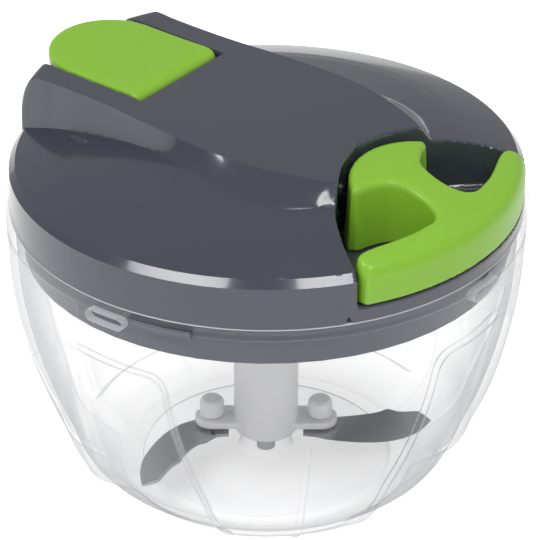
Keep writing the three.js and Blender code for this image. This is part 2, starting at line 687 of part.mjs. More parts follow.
// The raised bridge as a loft of cross-sections along it, drawn in by an inset.
const BRIDGE_BACK_SHARES = [-1.07, -0.85, -0.63, -0.44, -0.25, -0.1];
const BRIDGE_FRONT_SHARES = [0.06, 0.27, 0.48, 0.67, 0.85, 1, 1.27];
const FLANK_SHARES = [0.2, 0.45, 0.72, 1];
function bridgeBody(inset, zLow) {
  const backPlaces = BRIDGE_BACK_SHARES.map((share) => share * LID_R);
  const frontPlaces = BRIDGE_FRONT_SHARES.map((share) => share * BRIDGE_FRONT_X);
  const sections = [...backPlaces, ...frontPlaces].map((x) => {
    const top = bridgeZ(x) - inset;
    const halfW = bridgeHalfW(x) - inset;
    const footY = halfW + flankRun(x);
    const footR = between(0, Math.hypot(x, footY), DOME_EDGE_R);
    const footZ = Math.min(domeZ(footR) - inset, top - BRIDGE_EDGE) - SEAT_GAP;
    const flank = FLANK_SHARES.map((share) => [
      halfW + flankRun(x) * share,
      footZ + (top - BRIDGE_EDGE - footZ) * (1 - share) ** 2,
    ]);
    const right = [
      [halfW - BRIDGE_EDGE, top],
      [halfW - BRIDGE_EDGE / 4, top - BRIDGE_EDGE / 4],
      [halfW, top - BRIDGE_EDGE],
      ...flank,
      [footY, zLow],
    ];
    const left = right.map(([y, z]) => [-y, z]).reverse();
    return [...right, ...left].map(([y, z]) => [x, y, z]);
  });
  return skin(sections).intersect(bridgeEnd(inset, zLow));
}

// The rounded envelope that ends the bridge at the lid's edge: how far in from the edge and how far up.
const BRIDGE_END_SHARES = [
  [0, 0],
  [0.07, 0.42],
  [0.22, 0.7],
  [0.5, 0.88],
  [1, 1.02],
];
function bridgeEnd(inset, zLow) {
  const endR = BRIDGE_END_R - inset;
  const endZ = BRIDGE_TOP_Z + BRIDGE_SLOPE * LID_R + BRIDGE_EDGE / 2;
  const endLow = endZ - BRIDGE_END_H;
  return lathe([
    [0, zLow - OVERRUN],
    [endR, zLow - OVERRUN],
    ...BRIDGE_END_SHARES.map(([back, up]) => [
      endR - BRIDGE_END_W * back,
      endLow + BRIDGE_END_H * up - inset,
    ]),
    [0, endZ + BRIDGE_EDGE],
  ]);
}

// Outline of the handle's pocket, moved out by an offset: an arc behind the core, then a bend to the rim.
const POCKET_ARC_DEG = 38;
const POCKET_ARC_STEPS = 4;
const POCKET_BEND_SHARES = [
  [0.556, 0.328],
  [0.63, 0.488],
  [0.945, 0.665],
];
const POCKET_BEND_STEPS = 6;
function pocketOutline(offset) {
  const backR = HANDLE_CORE_R + POCKET_GAP;
  const arc = Array.from({ length: POCKET_ARC_STEPS + 1 }, (_, i) => {
    const [x, y] = onRing(backR, 180 - (POCKET_ARC_DEG * i) / POCKET_ARC_STEPS);
    return [HANDLE_CORE_X + x, y];
  });
  const bendPoints = POCKET_BEND_SHARES.map(([x, y]) => [x * LID_R, y * LID_R]);
  const bend = new THREE.CubicBezierCurve(...planPoints([arc[arc.length - 1], ...bendPoints]));
  const side = [...arc, ...bend.getPoints(POCKET_BEND_STEPS).slice(1).map((p) => [p.x, p.y])];
  const moved = side.map(([x, y], i) => {
    const before = side[Math.max(0, i - 1)];
    const after = side[Math.min(side.length - 1, i + 1)];
    const [dx, dy] = [after[0] - before[0], after[1] - before[1]];
    const length = Math.hypot(dx, dy);
    return i === 0 ? [x - offset, 0] : [x - (offset * dy) / length, y + (offset * dx) / length];
  });
  moved.push([RIM_R + OVERRUN, moved[moved.length - 1][1]]);
  const mirrored = moved.slice(1).map(([x, y]) => [x, -y]);
  return [...mirrored.reverse(), ...moved];
}

// The recess round the release button, open at the lid's edge.
function wellBlock(offset, zLow) {
  const halfW = BUTTON_HALF_W + BUTTON_GAP + offset;
  return block([-RIM_R - OVERRUN, -halfW, zLow], [BUTTON_IN_X + BUTTON_GAP + offset, halfW, CLEAR_Z]);
}

function makeLidTop() {
  const whole = lidRound(0, LID_Z).add(bridgeBody(0, LID_Z + LID_WALL));
  const hollow = lidRound(LID_WALL, LID_Z - OVERRUN).add(bridgeBody(LID_WALL, LID_Z - OVERRUN));
  const springSpot = [BUTTON_SPRING_X, 0];
  const liners = [
    prism(pocketOutline(POCKET_LINER), SHELL_LOW_Z, CLEAR_Z),
    wellBlock(WELL_LINER, WELL_FLOOR_Z - WELL_LINER),
    rod(SPRING_WELL_R + WELL_LINER, SPRING_WELL_Z - WELL_LINER / 2, WELL_FLOOR_Z, springSpot),
    ...LID_SCREW_DEGS.map((deg) => lidScrewRod(deg, LID_SCREW.bossR, SHELL_LOW_Z, DOME_CROWN_Z)),
  ];
  const screwTop = lidScrewHeadZ() + LID_SCREW.length + SEAT_GAP;
  const cuts = [
    prism(pocketOutline(0), POCKET_FLOOR_Z, CLEAR_Z),
    wellBlock(0, WELL_FLOOR_Z),
    rod(SPRING_WELL_R, SPRING_WELL_Z, WELL_FLOOR_Z + OVERRUN, springSpot),
    legSlot(),
    rodY(BUTTON_PIN_R + SEAT_GAP / 2, BUTTON_PIN_HALF + SEAT_GAP, BUTTON_PIN_X, BUTTON_PIN_Z),
    rodX(EYELET_R + SEAT_GAP, EYELET_IN_X - OVERRUN, POCKET_BACK_X + OVERRUN, 0, CORD_Z),
    ...LID_SCREW_DEGS.map((deg) => lidScrewRod(deg, LID_SCREW.shankR + SEAT_GAP / 2, LID_Z, screwTop)),
    turned(markCutter(), MARK_DEG),
  ];
  return whole.subtract(hollow).add(union(liners).intersect(whole)).subtract(union(cuts));
}

// The slot in the button's well that the button's leg goes down through.
function legSlot() {
  const halfW = LEG_HALF_W + 2 * RUN_GAP;
  const across = [LEG_IN_R - CATCH_TRAVEL - RUN_GAP, LEG_IN_R + LEG_T + RUN_GAP];
  return bearingBlock(CATCH_DEG, halfW, across, [LID_Z + LID_WALL, WELL_FLOOR_Z + OVERRUN]);
}

// A three-sided notch in the lid's lower edge, which marks how far to turn it.
function markCutter() {
  const geometry = new THREE.CylinderGeometry(MARK_SIZE, MARK_SIZE, 2 * OVERRUN, 3);
  return solidFrom(
    geometry
      .rotateZ(Math.PI / 2)
      .rotateX(Math.PI / 2)
      .translate(LID_R + OVERRUN / 2, 0, LID_Z - MARK_SIZE / 4),
  );
}

function makeLidBase() {
  const flangeR = LID_R - LID_WALL - SEAT_GAP;
  const holeR = BUSHING_R + SEAT_GAP;
  const sealR = SHAFT_SEAL_R + SEAT_GAP;
  const collarR = SHAFT_SEAL_R + COLLAR_WALL;
  const sealTopZ = BUSHING_LOW_Z + SEAL_H;
  const profile = [
    [holeR, sealTopZ],
    [sealR, sealTopZ],
    [sealR, BUSHING_LOW_Z],
    [collarR, BUSHING_LOW_Z],
    [collarR, PLATE_Z],
    [SKIRT_IN_R, PLATE_Z],
    [SKIRT_IN_R, SKIRT_BOTTOM_Z],
    [SKIRT_R, SKIRT_BOTTOM_Z],
    [SKIRT_R, PLATE_Z],
    [flangeR, PLATE_Z],
    [flangeR, PLATE_TOP_Z],
    [holeR, PLATE_TOP_Z],
  ];
  const plate = lathe([...profile, profile[0]]);
  const holes = [
    catchSlot(),
    ...LID_SCREW_DEGS.map((deg) =>
      lidScrewRod(deg, LID_SCREW.shankR + SEAT_GAP, PLATE_Z - OVERRUN, PLATE_TOP_Z + OVERRUN),
    ),
    ...HOUSING_SCREW_DEGS.map((deg) => housingScrewHole(deg, SEAT_GAP / 2)),
  ];
  return plate.add(union([...makeTongues(), makeReelWall()])).subtract(union(holes));
}

// The tongues that go under the bowl's lugs when the lid is turned.
function makeTongues() {
  const top = WINDOW_Z + WINDOW_H / 2 - RUN_GAP;
  const band = ring(SKIRT_R - SKIRT_WALL / 2, BAND_IN_R - RUN_GAP, top - TONGUE_H, top);
  return Array.from({ length: FLUTE_COUNT }, (_, k) => {
    const from = (k * 360) / FLUTE_COUNT + LOCK_TURN_DEG - TONGUE_W_DEG / 2;
    return band.intersect(sector(RIM_R, from, from + TONGUE_W_DEG, SKIRT_BOTTOM_Z, LID_Z));
  });
}

// The wall round the reel, open where the cord leaves, with bosses for the spring housing's screws.
function makeReelWall() {
  const low = PLATE_TOP_Z - PLATE_T / 2;
  const gap = sector(RIM_R, -REEL_WALL_GAP_DEG, REEL_WALL_GAP_DEG, PLATE_TOP_Z, CLEAR_Z);
  const wall = ring(REEL_WALL_R - REEL_WALL_T, REEL_WALL_R, low, REEL_WALL_TOP_Z).subtract(gap);
  const inside = rod(REEL_WALL_R - REEL_WALL_T / 2, PLATE_TOP_Z, CLEAR_Z, [0, 0], ROUND_STEPS);
  const bosses = HOUSING_SCREW_DEGS.map((deg) =>
    housingScrewRod(deg, HOUSING_SCREW.bossR, low, REEL_WALL_TOP_Z).subtract(inside),
  );
  return union([wall, ...bosses]);
}

// The opening in the plate for the catch's finger, and the one in the skirt for its tooth.
function catchSlot() {
  const halfW = CATCH_HALF_W + RUN_GAP;
  const plateCut = [FINGER_R - CATCH_FINGER_T - CATCH_TRAVEL - RUN_GAP, FINGER_R + RUN_GAP];
  const toothCut = [WINDOW_Z - WINDOW_H / 2 - RUN_GAP, WINDOW_Z + WINDOW_H / 2 + RUN_GAP];
  return bearingBlock(CATCH_DEG, halfW, plateCut, [PLATE_Z - OVERRUN, PLATE_TOP_Z + OVERRUN]).add(
    bearingBlock(CATCH_DEG, halfW, [FINGER_R, RIM_R], toothCut),
  );
}

// Flat ring on the bowl's rim, with a lip that keeps it round the skirt.
function makeSealRing() {
  const lipR = LID_R - LID_WALL - 2 * SEAT_GAP;
  const [rIn, rOut] = [SKIRT_R + SEAT_GAP, LID_R - SEAT_GAP];
  const [low, step, high] = [RIM_Z + SEAT_GAP, LID_Z - SEAT_GAP, PLATE_Z - SEAT_GAP];
  const profile = [
    [rIn, low],
    [rOut, low],
    [rOut, step],
    [lipR, step],
    [lipR, high],
    [rIn, high],
  ];
  return lathe([...profile, profile[0]]);
}

// Handle

// Inner edge of half the handle, from the core's tip round the notch to the bar's tip.
const NOTCH_SHARES = [
  [0.56, 0.237],
  [0.584, 0.206],
  [0.63, 0.117],
  [0.688, 0.082],
  [0.736, 0.073],
  [0.799, 0.079],
  [0.842, 0.104],
  [0.861, 0.142],
  [0.847, 0.253],
  [0.794, 0.418],
  [0.774, 0.491],
];
const BAR_TIP_SHARES = [
  [0.783, 0.521],
  [0.807, 0.536],
];
const NOTCH_STEPS = 22;
const CORE_ARC_DEG = 46;
const CORE_ARC_STEPS = 7;
const BAR_ARC_STEPS = 8;

function handleOutline() {
  const core = Array.from({ length: CORE_ARC_STEPS + 1 }, (_, i) => {
    const [x, y] = onRing(HANDLE_CORE_R, 180 - (CORE_ARC_DEG * i) / CORE_ARC_STEPS);
    return [HANDLE_CORE_X + x, y];
  });
  const places = (shares) => shares.map(([x, y]) => [x * HANDLE_R, y * HANDLE_R]);
  const notch = new THREE.SplineCurve(planPoints(places(NOTCH_SHARES)));
  const outer = Array.from({ length: BAR_ARC_STEPS + 1 }, (_, i) =>
    onRing(HANDLE_R, HANDLE_HALF_DEG * (1 - i / BAR_ARC_STEPS)),
  );
  const half = [
    ...core,
    ...notch.getPoints(NOTCH_STEPS).map((p) => [p.x, p.y]),
    ...places(BAR_TIP_SHARES),
    ...outer,
  ];
  const mirrored = half.slice(1, -1).map(([x, y]) => [x, -y]);
  return [...half, ...mirrored.reverse()];
}

function makeHandle() {
  const backZ = HANDLE_BOTTOM_Z + HANDLE_BACK_H;
  const frontZ = HANDLE_BOTTOM_Z + HANDLE_FRONT_H;
  const slope = (backZ - frontZ) / (HANDLE_R - HANDLE_BACK_X);
  const crown = lathe([
    [0, HANDLE_BOTTOM_Z],
    [HANDLE_R - HANDLE_EDGE / 2, HANDLE_BOTTOM_Z],
    [HANDLE_R, HANDLE_BOTTOM_Z + HANDLE_EDGE / 2],
    [HANDLE_R, frontZ - HANDLE_EDGE],
    [HANDLE_R - HANDLE_EDGE / 4, frontZ - HANDLE_EDGE / 2],
    [HANDLE_R - HANDLE_EDGE, frontZ],
    [0, frontZ + slope * (HANDLE_R - HANDLE_EDGE)],
  ]);
  const cordHole = rodX(EYELET_BORE_R, HANDLE_BACK_X - OVERRUN, KNOT_X, 0, CORD_Z);
  const knotRoom = rod(KNOT_ROOM_R, HANDLE_BOTTOM_Z - OVERRUN, CORD_Z + KNOT_R + RUN_GAP, [KNOT_X, 0]);
  const body = prism(handleOutline(), HANDLE_BOTTOM_Z, CLEAR_Z).intersect(crown);
  return body.subtract(cordHole).subtract(knotRoom);
}

function makePlug() {
  return rod(KNOT_ROOM_R - SEAT_GAP, HANDLE_BOTTOM_Z, HANDLE_BOTTOM_Z + PLUG_T, [KNOT_X, 0]);
}

// Cord

// Radius of the cord's centre on the reel after a number of turns, and where it leaves for the eyelet.
const windR = (turns) => REEL_CORE_R + SEAT_GAP + CORD_R + CORD_PITCH * turns;
const LEAVE_X = EYELET_IN_X - CORD_R;
const LEAVE_DEG = THREE.MathUtils.radToDeg(Math.acos(windR(CORD_TURNS) / LEAVE_X));

function makeWinding() {
  const count = Math.round(CORD_TURNS * CORD_STEPS);
  const path = Array.from({ length: count + 1 }, (_, i) => {
    const turns = (CORD_TURNS * i) / count;
    return [...onRing(windR(turns), LEAVE_DEG + 360 * (CORD_TURNS - turns)), CORD_Z];
  });
  printLeastGap("cord winding", path, 2 * CORD_R, CORD_STEPS);
  return tube(path, CORD_R, CORD_SIDES);
}

function makeLead() {
  const leave = new THREE.Vector2(...onRing(windR(CORD_TURNS), LEAVE_DEG));
  const bend = new THREE.Vector2(LEAVE_X, 0);
  const start = leave.clone().add(bend.clone().sub(leave).setLength(SEAT_GAP + CORD_R));
  const route = [
    [start.x, start.y, CORD_Z],
    [LEAVE_X, 0, CORD_Z],
    [EYELET_IN_X, 0, CORD_Z],
    [KNOT_X - KNOT_R - SEAT_GAP, 0, CORD_Z],
  ];
  return tube(route, CORD_R, CORD_SIDES + 2);
}

function makeKnot() {
  const ball = new THREE.SphereGeometry(KNOT_R, KNOT_STEPS, KNOT_STEPS / 2);
  return solidFrom(ball.translate(KNOT_X, 0, CORD_Z));
}

function makeEyelet() {
  const flangeX = POCKET_BACK_X + SEAT_GAP;
  const outX = flangeX + EYELET_FLANGE_T;
  return rodX(EYELET_R, EYELET_IN_X, outX, 0, CORD_Z)
    .add(rodX(EYELET_FLANGE_R, flangeX, outX, 0, CORD_Z))
    .subtract(rodX(EYELET_BORE_R, EYELET_IN_X - OVERRUN, outX + OVERRUN, 0, CORD_Z));
}

// Reel, drive and spring

function makeReel() {
  const boreR = AXLE_R + RUN_GAP;
  const arborTop = CUP_TOP_Z - SEAT_GAP;
  const profile = [
    [boreR, RATCHET_TOP_Z],
    [RATCHET_R, RATCHET_TOP_Z],
    [RATCHET_R, REEL_LOW_Z],
    [REEL_FLANGE_R, REEL_LOW_Z],
    [REEL_FLANGE_R, REEL_LOW_Z + REEL_FLANGE_T],
    [REEL_CORE_R, CORD_Z - REEL_GROOVE_H / 2],
    [REEL_CORE_R, CORD_Z + REEL_GROOVE_H / 2],
    [REEL_FLANGE_R, CORD_Z + REEL_GROOVE_H / 2],
    [REEL_FLANGE_R, REEL_TOP_Z],
    [REEL_HUB_R, REEL_TOP_Z],
    [REEL_HUB_R, arborTop],
    [boreR, arborTop],
  ];
  const body = lathe([...profile, profile[0]], HUB_STEPS);
  const tooth = ratchetTooth();
  const teeth = Array.from({ length: RATCHET_TEETH }, (_, k) => turned(tooth, (k * 360) / RATCHET_TEETH));
  return body.add(union(teeth));
}

// A saw tooth: steep on the side that the pawl pushes.
function ratchetTooth() {
  const pitch = (2 * Math.PI * RATCHET_R) / RATCHET_TEETH;
  const outR = RATCHET_R + RATCHET_TOOTH / 2;
  const outline = [
    [RATCHET_R - RATCHET_TOOTH, 0],
    [outR, 0],
    [outR, pitch * (2 / 3)],
    [RATCHET_R, pitch * (2 / 3)],
  ];
  return prism(outline, REEL_LOW_Z, RATCHET_TOP_Z + REEL_FLANGE_T / 4);
}

function makeDriveHub() {
  const discTop = RATCHET_TOP_Z - RUN_GAP;
  const body = lathe(
    [
      [0, HUB_SOCKET_TOP_Z],
      [HUB_SOCKET_R, HUB_SOCKET_TOP_Z],
      [HUB_SOCKET_R, HUB_LOW_Z],
      [HUB_R, HUB_LOW_Z],
      [HUB_R, SHELL_LOW_Z],
      [HUB_FLANGE_R, SHELL_LOW_Z],
      [HUB_FLANGE_R, HUB_FLANGE_TOP_Z],
      [PAWL_DISC_R, HUB_FLANGE_TOP_Z],
      [PAWL_DISC_R, discTop],
      [AXLE_R + RUN_GAP, discTop],
      [AXLE_R + RUN_GAP, AXLE_SEAT_Z],
      [0, AXLE_SEAT_Z],
    ],
    HUB_STEPS,
  );
  const claws = ring(
    SPIGOT_R + RUN_GAP,
    (HUB_SOCKET_R + HUB_R) / 2,
    SPIGOT_CLAW_Z,
    HUB_SOCKET_TOP_Z + HUB_ROOF_T / 2,
    HUB_STEPS,
  );
  return body.add(claws.intersect(clawSectors(ROTOR_DEG + 90)));
}

// Two opposite sectors, for the claws of the hub and of the column.
function clawSectors(deg) {
  const one = sector(HUB_R, deg - CLAW_DEG / 2, deg + CLAW_DEG / 2, COLUMN_TOP_Z, PLATE_TOP_Z);
  return one.add(turned(one, 180));
}

// One pawl, leaning from the hub's disc toward the teeth: how far out, and how far along.
const PAWL_SHARES = [
  [0, -1],
  [0.55, -1],
  [0.93, 1],
  [0.86, 1.5],
  [0.2, 0.5],
];
function makePawl(deg) {
  const rootR = PAWL_DISC_R + RUN_GAP;
  const reach = RATCHET_R - RATCHET_TOOTH - RUN_GAP - rootR;
  const outline = PAWL_SHARES.map(([out, along]) => [rootR + reach * out, PAWL_T * along]);
  const low = HUB_FLANGE_TOP_Z + SEAT_GAP;
  return turned(prism(outline, low, low + PAWL_T), deg);
}

function makeAxle() {
  return rod(AXLE_R, AXLE_SEAT_Z + SEAT_GAP, COVER_LOW_Z + COVER_T / 2 - SEAT_GAP);
}

function makeBushing() {
  return ring(HUB_R + RUN_GAP, BUSHING_R, BUSHING_LOW_Z + SEAL_H + SEAT_GAP, PLATE_TOP_Z, HUB_STEPS);
}

function makeShaftSeal() {
  return ring(HUB_R + SEAT_GAP, SHAFT_SEAL_R, BUSHING_LOW_Z, BUSHING_LOW_Z + SEAL_H - SEAT_GAP, HUB_STEPS);
}

function makeSpringHousing() {
  const arborR = REEL_HUB_R + RUN_GAP;
  const profile = [
    [arborR, CUP_LOW_Z],
    [CUP_R, CUP_LOW_Z],
    [CUP_R, CUP_TOP_Z],
    [CUP_R - SPRING_CUP_WALL, CUP_TOP_Z],
    [CUP_R - SPRING_CUP_WALL, CUP_FLOOR_Z],
    [arborR, CUP_FLOOR_Z],
  ];
  const cup = lathe([...profile, profile[0]], HUB_STEPS);
  const { bossR } = HOUSING_SCREW;
  const ears = HOUSING_SCREW_DEGS.map((deg) =>
    housingScrewRod(deg, bossR, CUP_LOW_Z, CUP_FLOOR_Z).add(
      bearingBlock(deg, bossR, [CUP_R - SPRING_CUP_WALL, HOUSING_SCREW_R], [CUP_LOW_Z, CUP_FLOOR_Z]),
    ),
  );
  const holes = HOUSING_SCREW_DEGS.map((deg) => housingScrewHole(deg, SEAT_GAP));
  return cup.add(union(ears)).subtract(union(holes));
}

// Flat spiral spring: a strip on edge, wound from the arbor to the cup's wall.
function makeSpring() {
  const inR = SPRING_IN_R + SPRING_STRIP / 2;
  const outR = CUP_R - SPRING_CUP_WALL - RUN_GAP - SPRING_STRIP / 2;
  const count = SPRING_TURNS * SPRING_STEPS;
  const path = Array.from({ length: count + 1 }, (_, i) => [
    ...onRing(inR + ((outR - inR) * i) / count, (360 * i) / SPRING_STEPS),
    SPRING_LOW_Z + SPRING_W / 2,
  ]);
  printLeastGap("recoil spring", path, SPRING_STRIP, SPRING_STEPS);
  const strip = path.map(([x, y, z]) => {
    const radius = Math.hypot(x, y);
    const scaled = (side) => [(x * (radius + side)) / radius, (y * (radius + side)) / radius];
    const [inner, outer] = [scaled(-SPRING_STRIP / 2), scaled(SPRING_STRIP / 2)];
    const [low, high] = [z - SPRING_W / 2, z + SPRING_W / 2];
    return [
      [...inner, low],
      [...outer, low],
      [...outer, high],
      [...inner, high],
    ];
  });
  return skin(strip);
}

function makeSpringCover() {
  const cover = rod(CUP_R, COVER_LOW_Z, COVER_LOW_Z + COVER_T, [0, 0], HUB_STEPS);
  return cover.subtract(rod(AXLE_R + SEAT_GAP, COVER_LOW_Z - OVERRUN, COVER_LOW_Z + COVER_T / 2));
}

// Button, pin, spring and catch

// Height of the button's top at a place along it: it curves up to its outer end.
function buttonTopZ(x) {
  const share = (BUTTON_IN_X - x) / (BUTTON_IN_X - BUTTON_OUT_X);
  return bridgeZ(BUTTON_IN_X) + BUTTON_PROUD + BUTTON_RISE * share ** 2;
}

// Plan outline of the button: a straight inner edge and a round outer end.
const BUTTON_END_STEPS = 16;
function buttonOutline() {
  const cornerX = BUTTON_IN_X - BUTTON_EDGE;
  const cornerY = BUTTON_HALF_W - BUTTON_EDGE;
  const end = Array.from({ length: BUTTON_END_STEPS + 1 }, (_, i) => {
    const [x, y] = onRing(1, 90 + (180 * i) / BUTTON_END_STEPS);
    return [BUTTON_END_X + BUTTON_END_LEN * x, BUTTON_HALF_W * y];
  });
  return [
    [cornerX, -BUTTON_HALF_W],
    [BUTTON_IN_X, -cornerY],
    [BUTTON_IN_X, cornerY],
    [cornerX, BUTTON_HALF_W],
    ...end,
  ];
}

// The button's side view, swept across it.
const BUTTON_CURVE_SHARES = [0.45, 0.75, 1];
function buttonSlab() {
  const inZ = buttonTopZ(BUTTON_IN_X);
  const curve = BUTTON_CURVE_SHARES.map((share) => BUTTON_IN_X + (BUTTON_OUT_X - BUTTON_IN_X) * share);
  const side = [
    [BUTTON_IN_X, inZ - BUTTON_T],
    [BUTTON_IN_X, inZ - BUTTON_EDGE],
    [BUTTON_IN_X - BUTTON_EDGE / 3, inZ - BUTTON_EDGE / 3],
    [BUTTON_IN_X - BUTTON_EDGE, inZ],
    ...curve.map((x) => [x, buttonTopZ(x)]),
    ...curve.toReversed().map((x) => [x, buttonTopZ(x) - BUTTON_T]),
  ];
  const geometry = new THREE.ExtrudeGeometry(new THREE.Shape(planPoints(side)), {
    depth: 2 * (BUTTON_HALF_W + OVERRUN),
    bevelEnabled: false,
  });
  return solidFrom(geometry.rotateX(Math.PI / 2).translate(0, BUTTON_HALF_W + OVERRUN, 0));
}

function makeButton() {
  const lugHalf = BUTTON_HALF_W - BUTTON_EDGE;
  const barrel = rodY(BUTTON_LUG_R, lugHalf, BUTTON_PIN_X, BUTTON_PIN_Z);
  const web = block(
    [BUTTON_PIN_X - BUTTON_LUG_R, -lugHalf, BUTTON_PIN_Z],
    [BUTTON_PIN_X + BUTTON_LUG_R, lugHalf, buttonTopZ(BUTTON_PIN_X) - BUTTON_T / 2],
  );
  const drop = (LEG_IN_R + BUTTON_PIN_X) * Math.sin(rad(BUTTON_PRESS_DEG));
  const legSpan = [CATCH_TOP_Z + drop + RUN_GAP, buttonTopZ(-LEG_IN_R) - BUTTON_T / 2];
  const leg = bearingBlock(CATCH_DEG, LEG_HALF_W, [LEG_IN_R, LEG_IN_R + LEG_T], legSpan);
  const bore = rodY(BUTTON_PIN_R + RUN_GAP / 2, BUTTON_PIN_HALF, BUTTON_PIN_X, BUTTON_PIN_Z);
  const plate = prism(buttonOutline(), WELL_FLOOR_Z, CLEAR_Z).intersect(buttonSlab());
  return union([plate, barrel, web, leg]).subtract(bore);
}

function makeButtonPin() {
  return rodY(BUTTON_PIN_R, BUTTON_PIN_HALF, BUTTON_PIN_X, BUTTON_PIN_Z);
}

function makeButtonSpring() {
  const low = SPRING_WELL_Z + SEAT_GAP + BUTTON_WIRE_R;
  const high = buttonTopZ(BUTTON_SPRING_X + BUTTON_SPRING_R) - BUTTON_T - SEAT_GAP - BUTTON_WIRE_R;
  const count = BUTTON_SPRING_TURNS * BUTTON_SPRING_STEPS;
  const path = Array.from({ length: count + 1 }, (_, i) => {
    const [x, y] = onRing(BUTTON_SPRING_R, (360 * i) / BUTTON_SPRING_STEPS);
    return [BUTTON_SPRING_X + x, y, low + ((high - low) * i) / count];
  });
  printLeastGap("button spring", path, 2 * BUTTON_WIRE_R, BUTTON_SPRING_STEPS);
  return tube(path, BUTTON_WIRE_R, BUTTON_WIRE_SIDES);
}

// The catch: a slider with a fork for the button's leg, a finger inside the skirt and a tooth through it.
function makeCatch() {
  const toothLow = WINDOW_Z - WINDOW_H / 2;
  const forkLow = CATCH_LOW_Z + CATCH_T / 2;
  const forkTop = CATCH_TOP_Z + FORK_H;
  const parts = [
    [[FORK_IN_R - CATCH_LEN, FORK_OUT_R + FORK_WALL], [CATCH_LOW_Z, CATCH_TOP_Z]],
    [[FORK_IN_R - FORK_WALL, FORK_IN_R], [forkLow, forkTop]],
    [[FORK_OUT_R, FORK_OUT_R + FORK_WALL], [forkLow, forkTop]],
    [[FINGER_R - CATCH_FINGER_T, FINGER_R], [toothLow, CATCH_TOP_Z]],
    [[FINGER_R - CATCH_FINGER_T / 2, SKIRT_R + CATCH_TOOTH_REACH], [toothLow, toothLow + TONGUE_H]],
  ];
  return union(parts.map(([across, span]) => bearingBlock(CATCH_DEG, CATCH_HALF_W, across, span)));
}

// Screws

// Rods on the screws' axes.
const lidScrewRod = (deg, radius, zLow, zHigh) =>
  rod(radius, zLow, zHigh, onRing(LID_SCREW_R, deg), SCREW_STEPS);
const housingScrewRod = (deg, radius, zLow, zHigh) =>
  rod(radius, zLow, zHigh, onRing(HOUSING_SCREW_R, deg), SCREW_STEPS);

// Underside of the lid screws' heads, which bear on the plate from below.
const lidScrewHeadZ = () => PLATE_Z - SEAT_GAP - LID_SCREW.headT;

function makeLidScrew(deg) {
  const { headR, headT, shankR, length } = LID_SCREW;
  const low = lidScrewHeadZ();
  return lidScrewRod(deg, headR, low, low + headT).add(
    lidScrewRod(deg, shankR, low + headT / 2, low + length),
  );
}

function makeHousingScrew(deg) {
  const { headR, headT, shankR, length } = HOUSING_SCREW;
  const low = CUP_FLOOR_Z + SEAT_GAP;
  return housingScrewRod(deg, headR, low, low + headT).add(
    housingScrewRod(deg, shankR, CUP_FLOOR_Z - length, low + headT / 2),
  );
}

// The hole for a housing screw, through the ear and into the boss below.
function housingScrewHole(deg, gap) {
  const low = CUP_FLOOR_Z - HOUSING_SCREW.length - SEAT_GAP;
  return housingScrewRod(deg, HOUSING_SCREW.shankR + gap, low, CUP_FLOOR_Z + OVERRUN);
}

// Rotor

function makeColumn() {
  const boreTop = PIVOT_TOP_Z + RUN_GAP;
  const profile = [
    [COLUMN_BORE_R, COLUMN_LOW_Z],
    [COLUMN_R - COLUMN_EDGE, COLUMN_LOW_Z],
    [COLUMN_R, COLUMN_LOW_Z + COLUMN_EDGE],
    [COLUMN_R, COLUMN_TOP_Z - COLUMN_EDGE],
    [COLUMN_R - COLUMN_EDGE, COLUMN_TOP_Z],
    [SPIGOT_R, COLUMN_TOP_Z],
    [SPIGOT_R, SPIGOT_TOP_Z - COLUMN_EDGE],
    [SPIGOT_R - COLUMN_EDGE, SPIGOT_TOP_Z],
    [0, SPIGOT_TOP_Z],
    [0, boreTop],
    [COLUMN_BORE_R, boreTop],
  ];
  const body = lathe([...profile, profile[0]], HUB_STEPS);
  const clawR = HUB_SOCKET_R - RUN_GAP;
  const claws = ring(SPIGOT_R - COLUMN_EDGE, clawR, SPIGOT_CLAW_Z, SPIGOT_CLAW_Z + CLAW_H, HUB_STEPS);
  const [tabLow, tabHigh] = [TAB_Z, TAB_Z + TAB_T];
  const tab = rod(TAB_END_R, tabLow, tabHigh, [TAB_R, 0])
    .add(block([COLUMN_R - COLUMN_EDGE, -TAB_END_R, tabLow], [TAB_R, TAB_END_R, tabHigh]))
    .subtract(rod(STUD_SHANK_R + SEAT_GAP / 2, tabLow - OVERRUN, tabHigh + OVERRUN, [TAB_R, 0]));
  const tabs = [0, 180].map((deg) => turned(tab, ROTOR_DEG + deg));
  return turned(body, ROTOR_DEG).add(claws.intersect(clawSectors(ROTOR_DEG))).add(union(tabs));
}

// A domed stud that clamps the blade's root under the tab.
function makeStud(deg) {
  const at = [TAB_R, 0];
  const low = TAB_Z + TAB_T + SEAT_GAP;
  const stud = union([
    rod(STUD_R, low, low + STUD_H - STUD_EDGE, at),
    rod(STUD_R - STUD_EDGE, low, low + STUD_H, at),
    rod(STUD_SHANK_R, BLADE_ROOT_Z - BLADE_T / 2, low + STUD_EDGE, at),
  ]);
  return turned(stud, ROTOR_DEG + deg);
}

// Plan routes of the blades' middle lines from the stud out, as shares of the way to their reach, before the
// second is turned half round and both are turned with the rotor.
const BLADE_ROUTE_SHARES = [
  [
    [0, -0.06],
    [0.11, -0.08],
    [0.41, -0.1],
    [0.63, -0.08],
    [0.8, 0.01],
    [0.92, 0.17],
  ],
  [
    [0, 0.05],
    [0.06, 0.07],
    [0.28, 0.26],
    [0.43, 0.56],
    [0.47, 0.8],
    [0.44, 1.02],
  ],
];
const TWIST_START_SHARE = 0.28; // of the way along, where the flat root ends
const TIP_START_SHARE = 0.78; // where the back edge starts down to the point
const ROOT_WIDTH_SHARE = 0.72;
const BEVEL_SHARE = 0.7; // of the half-width, where the ground edge starts
const EDGE_T_SHARE = 0.2; // of the thickness, at the cutting edge
const TIP_CUT_SHARE = 1.2;

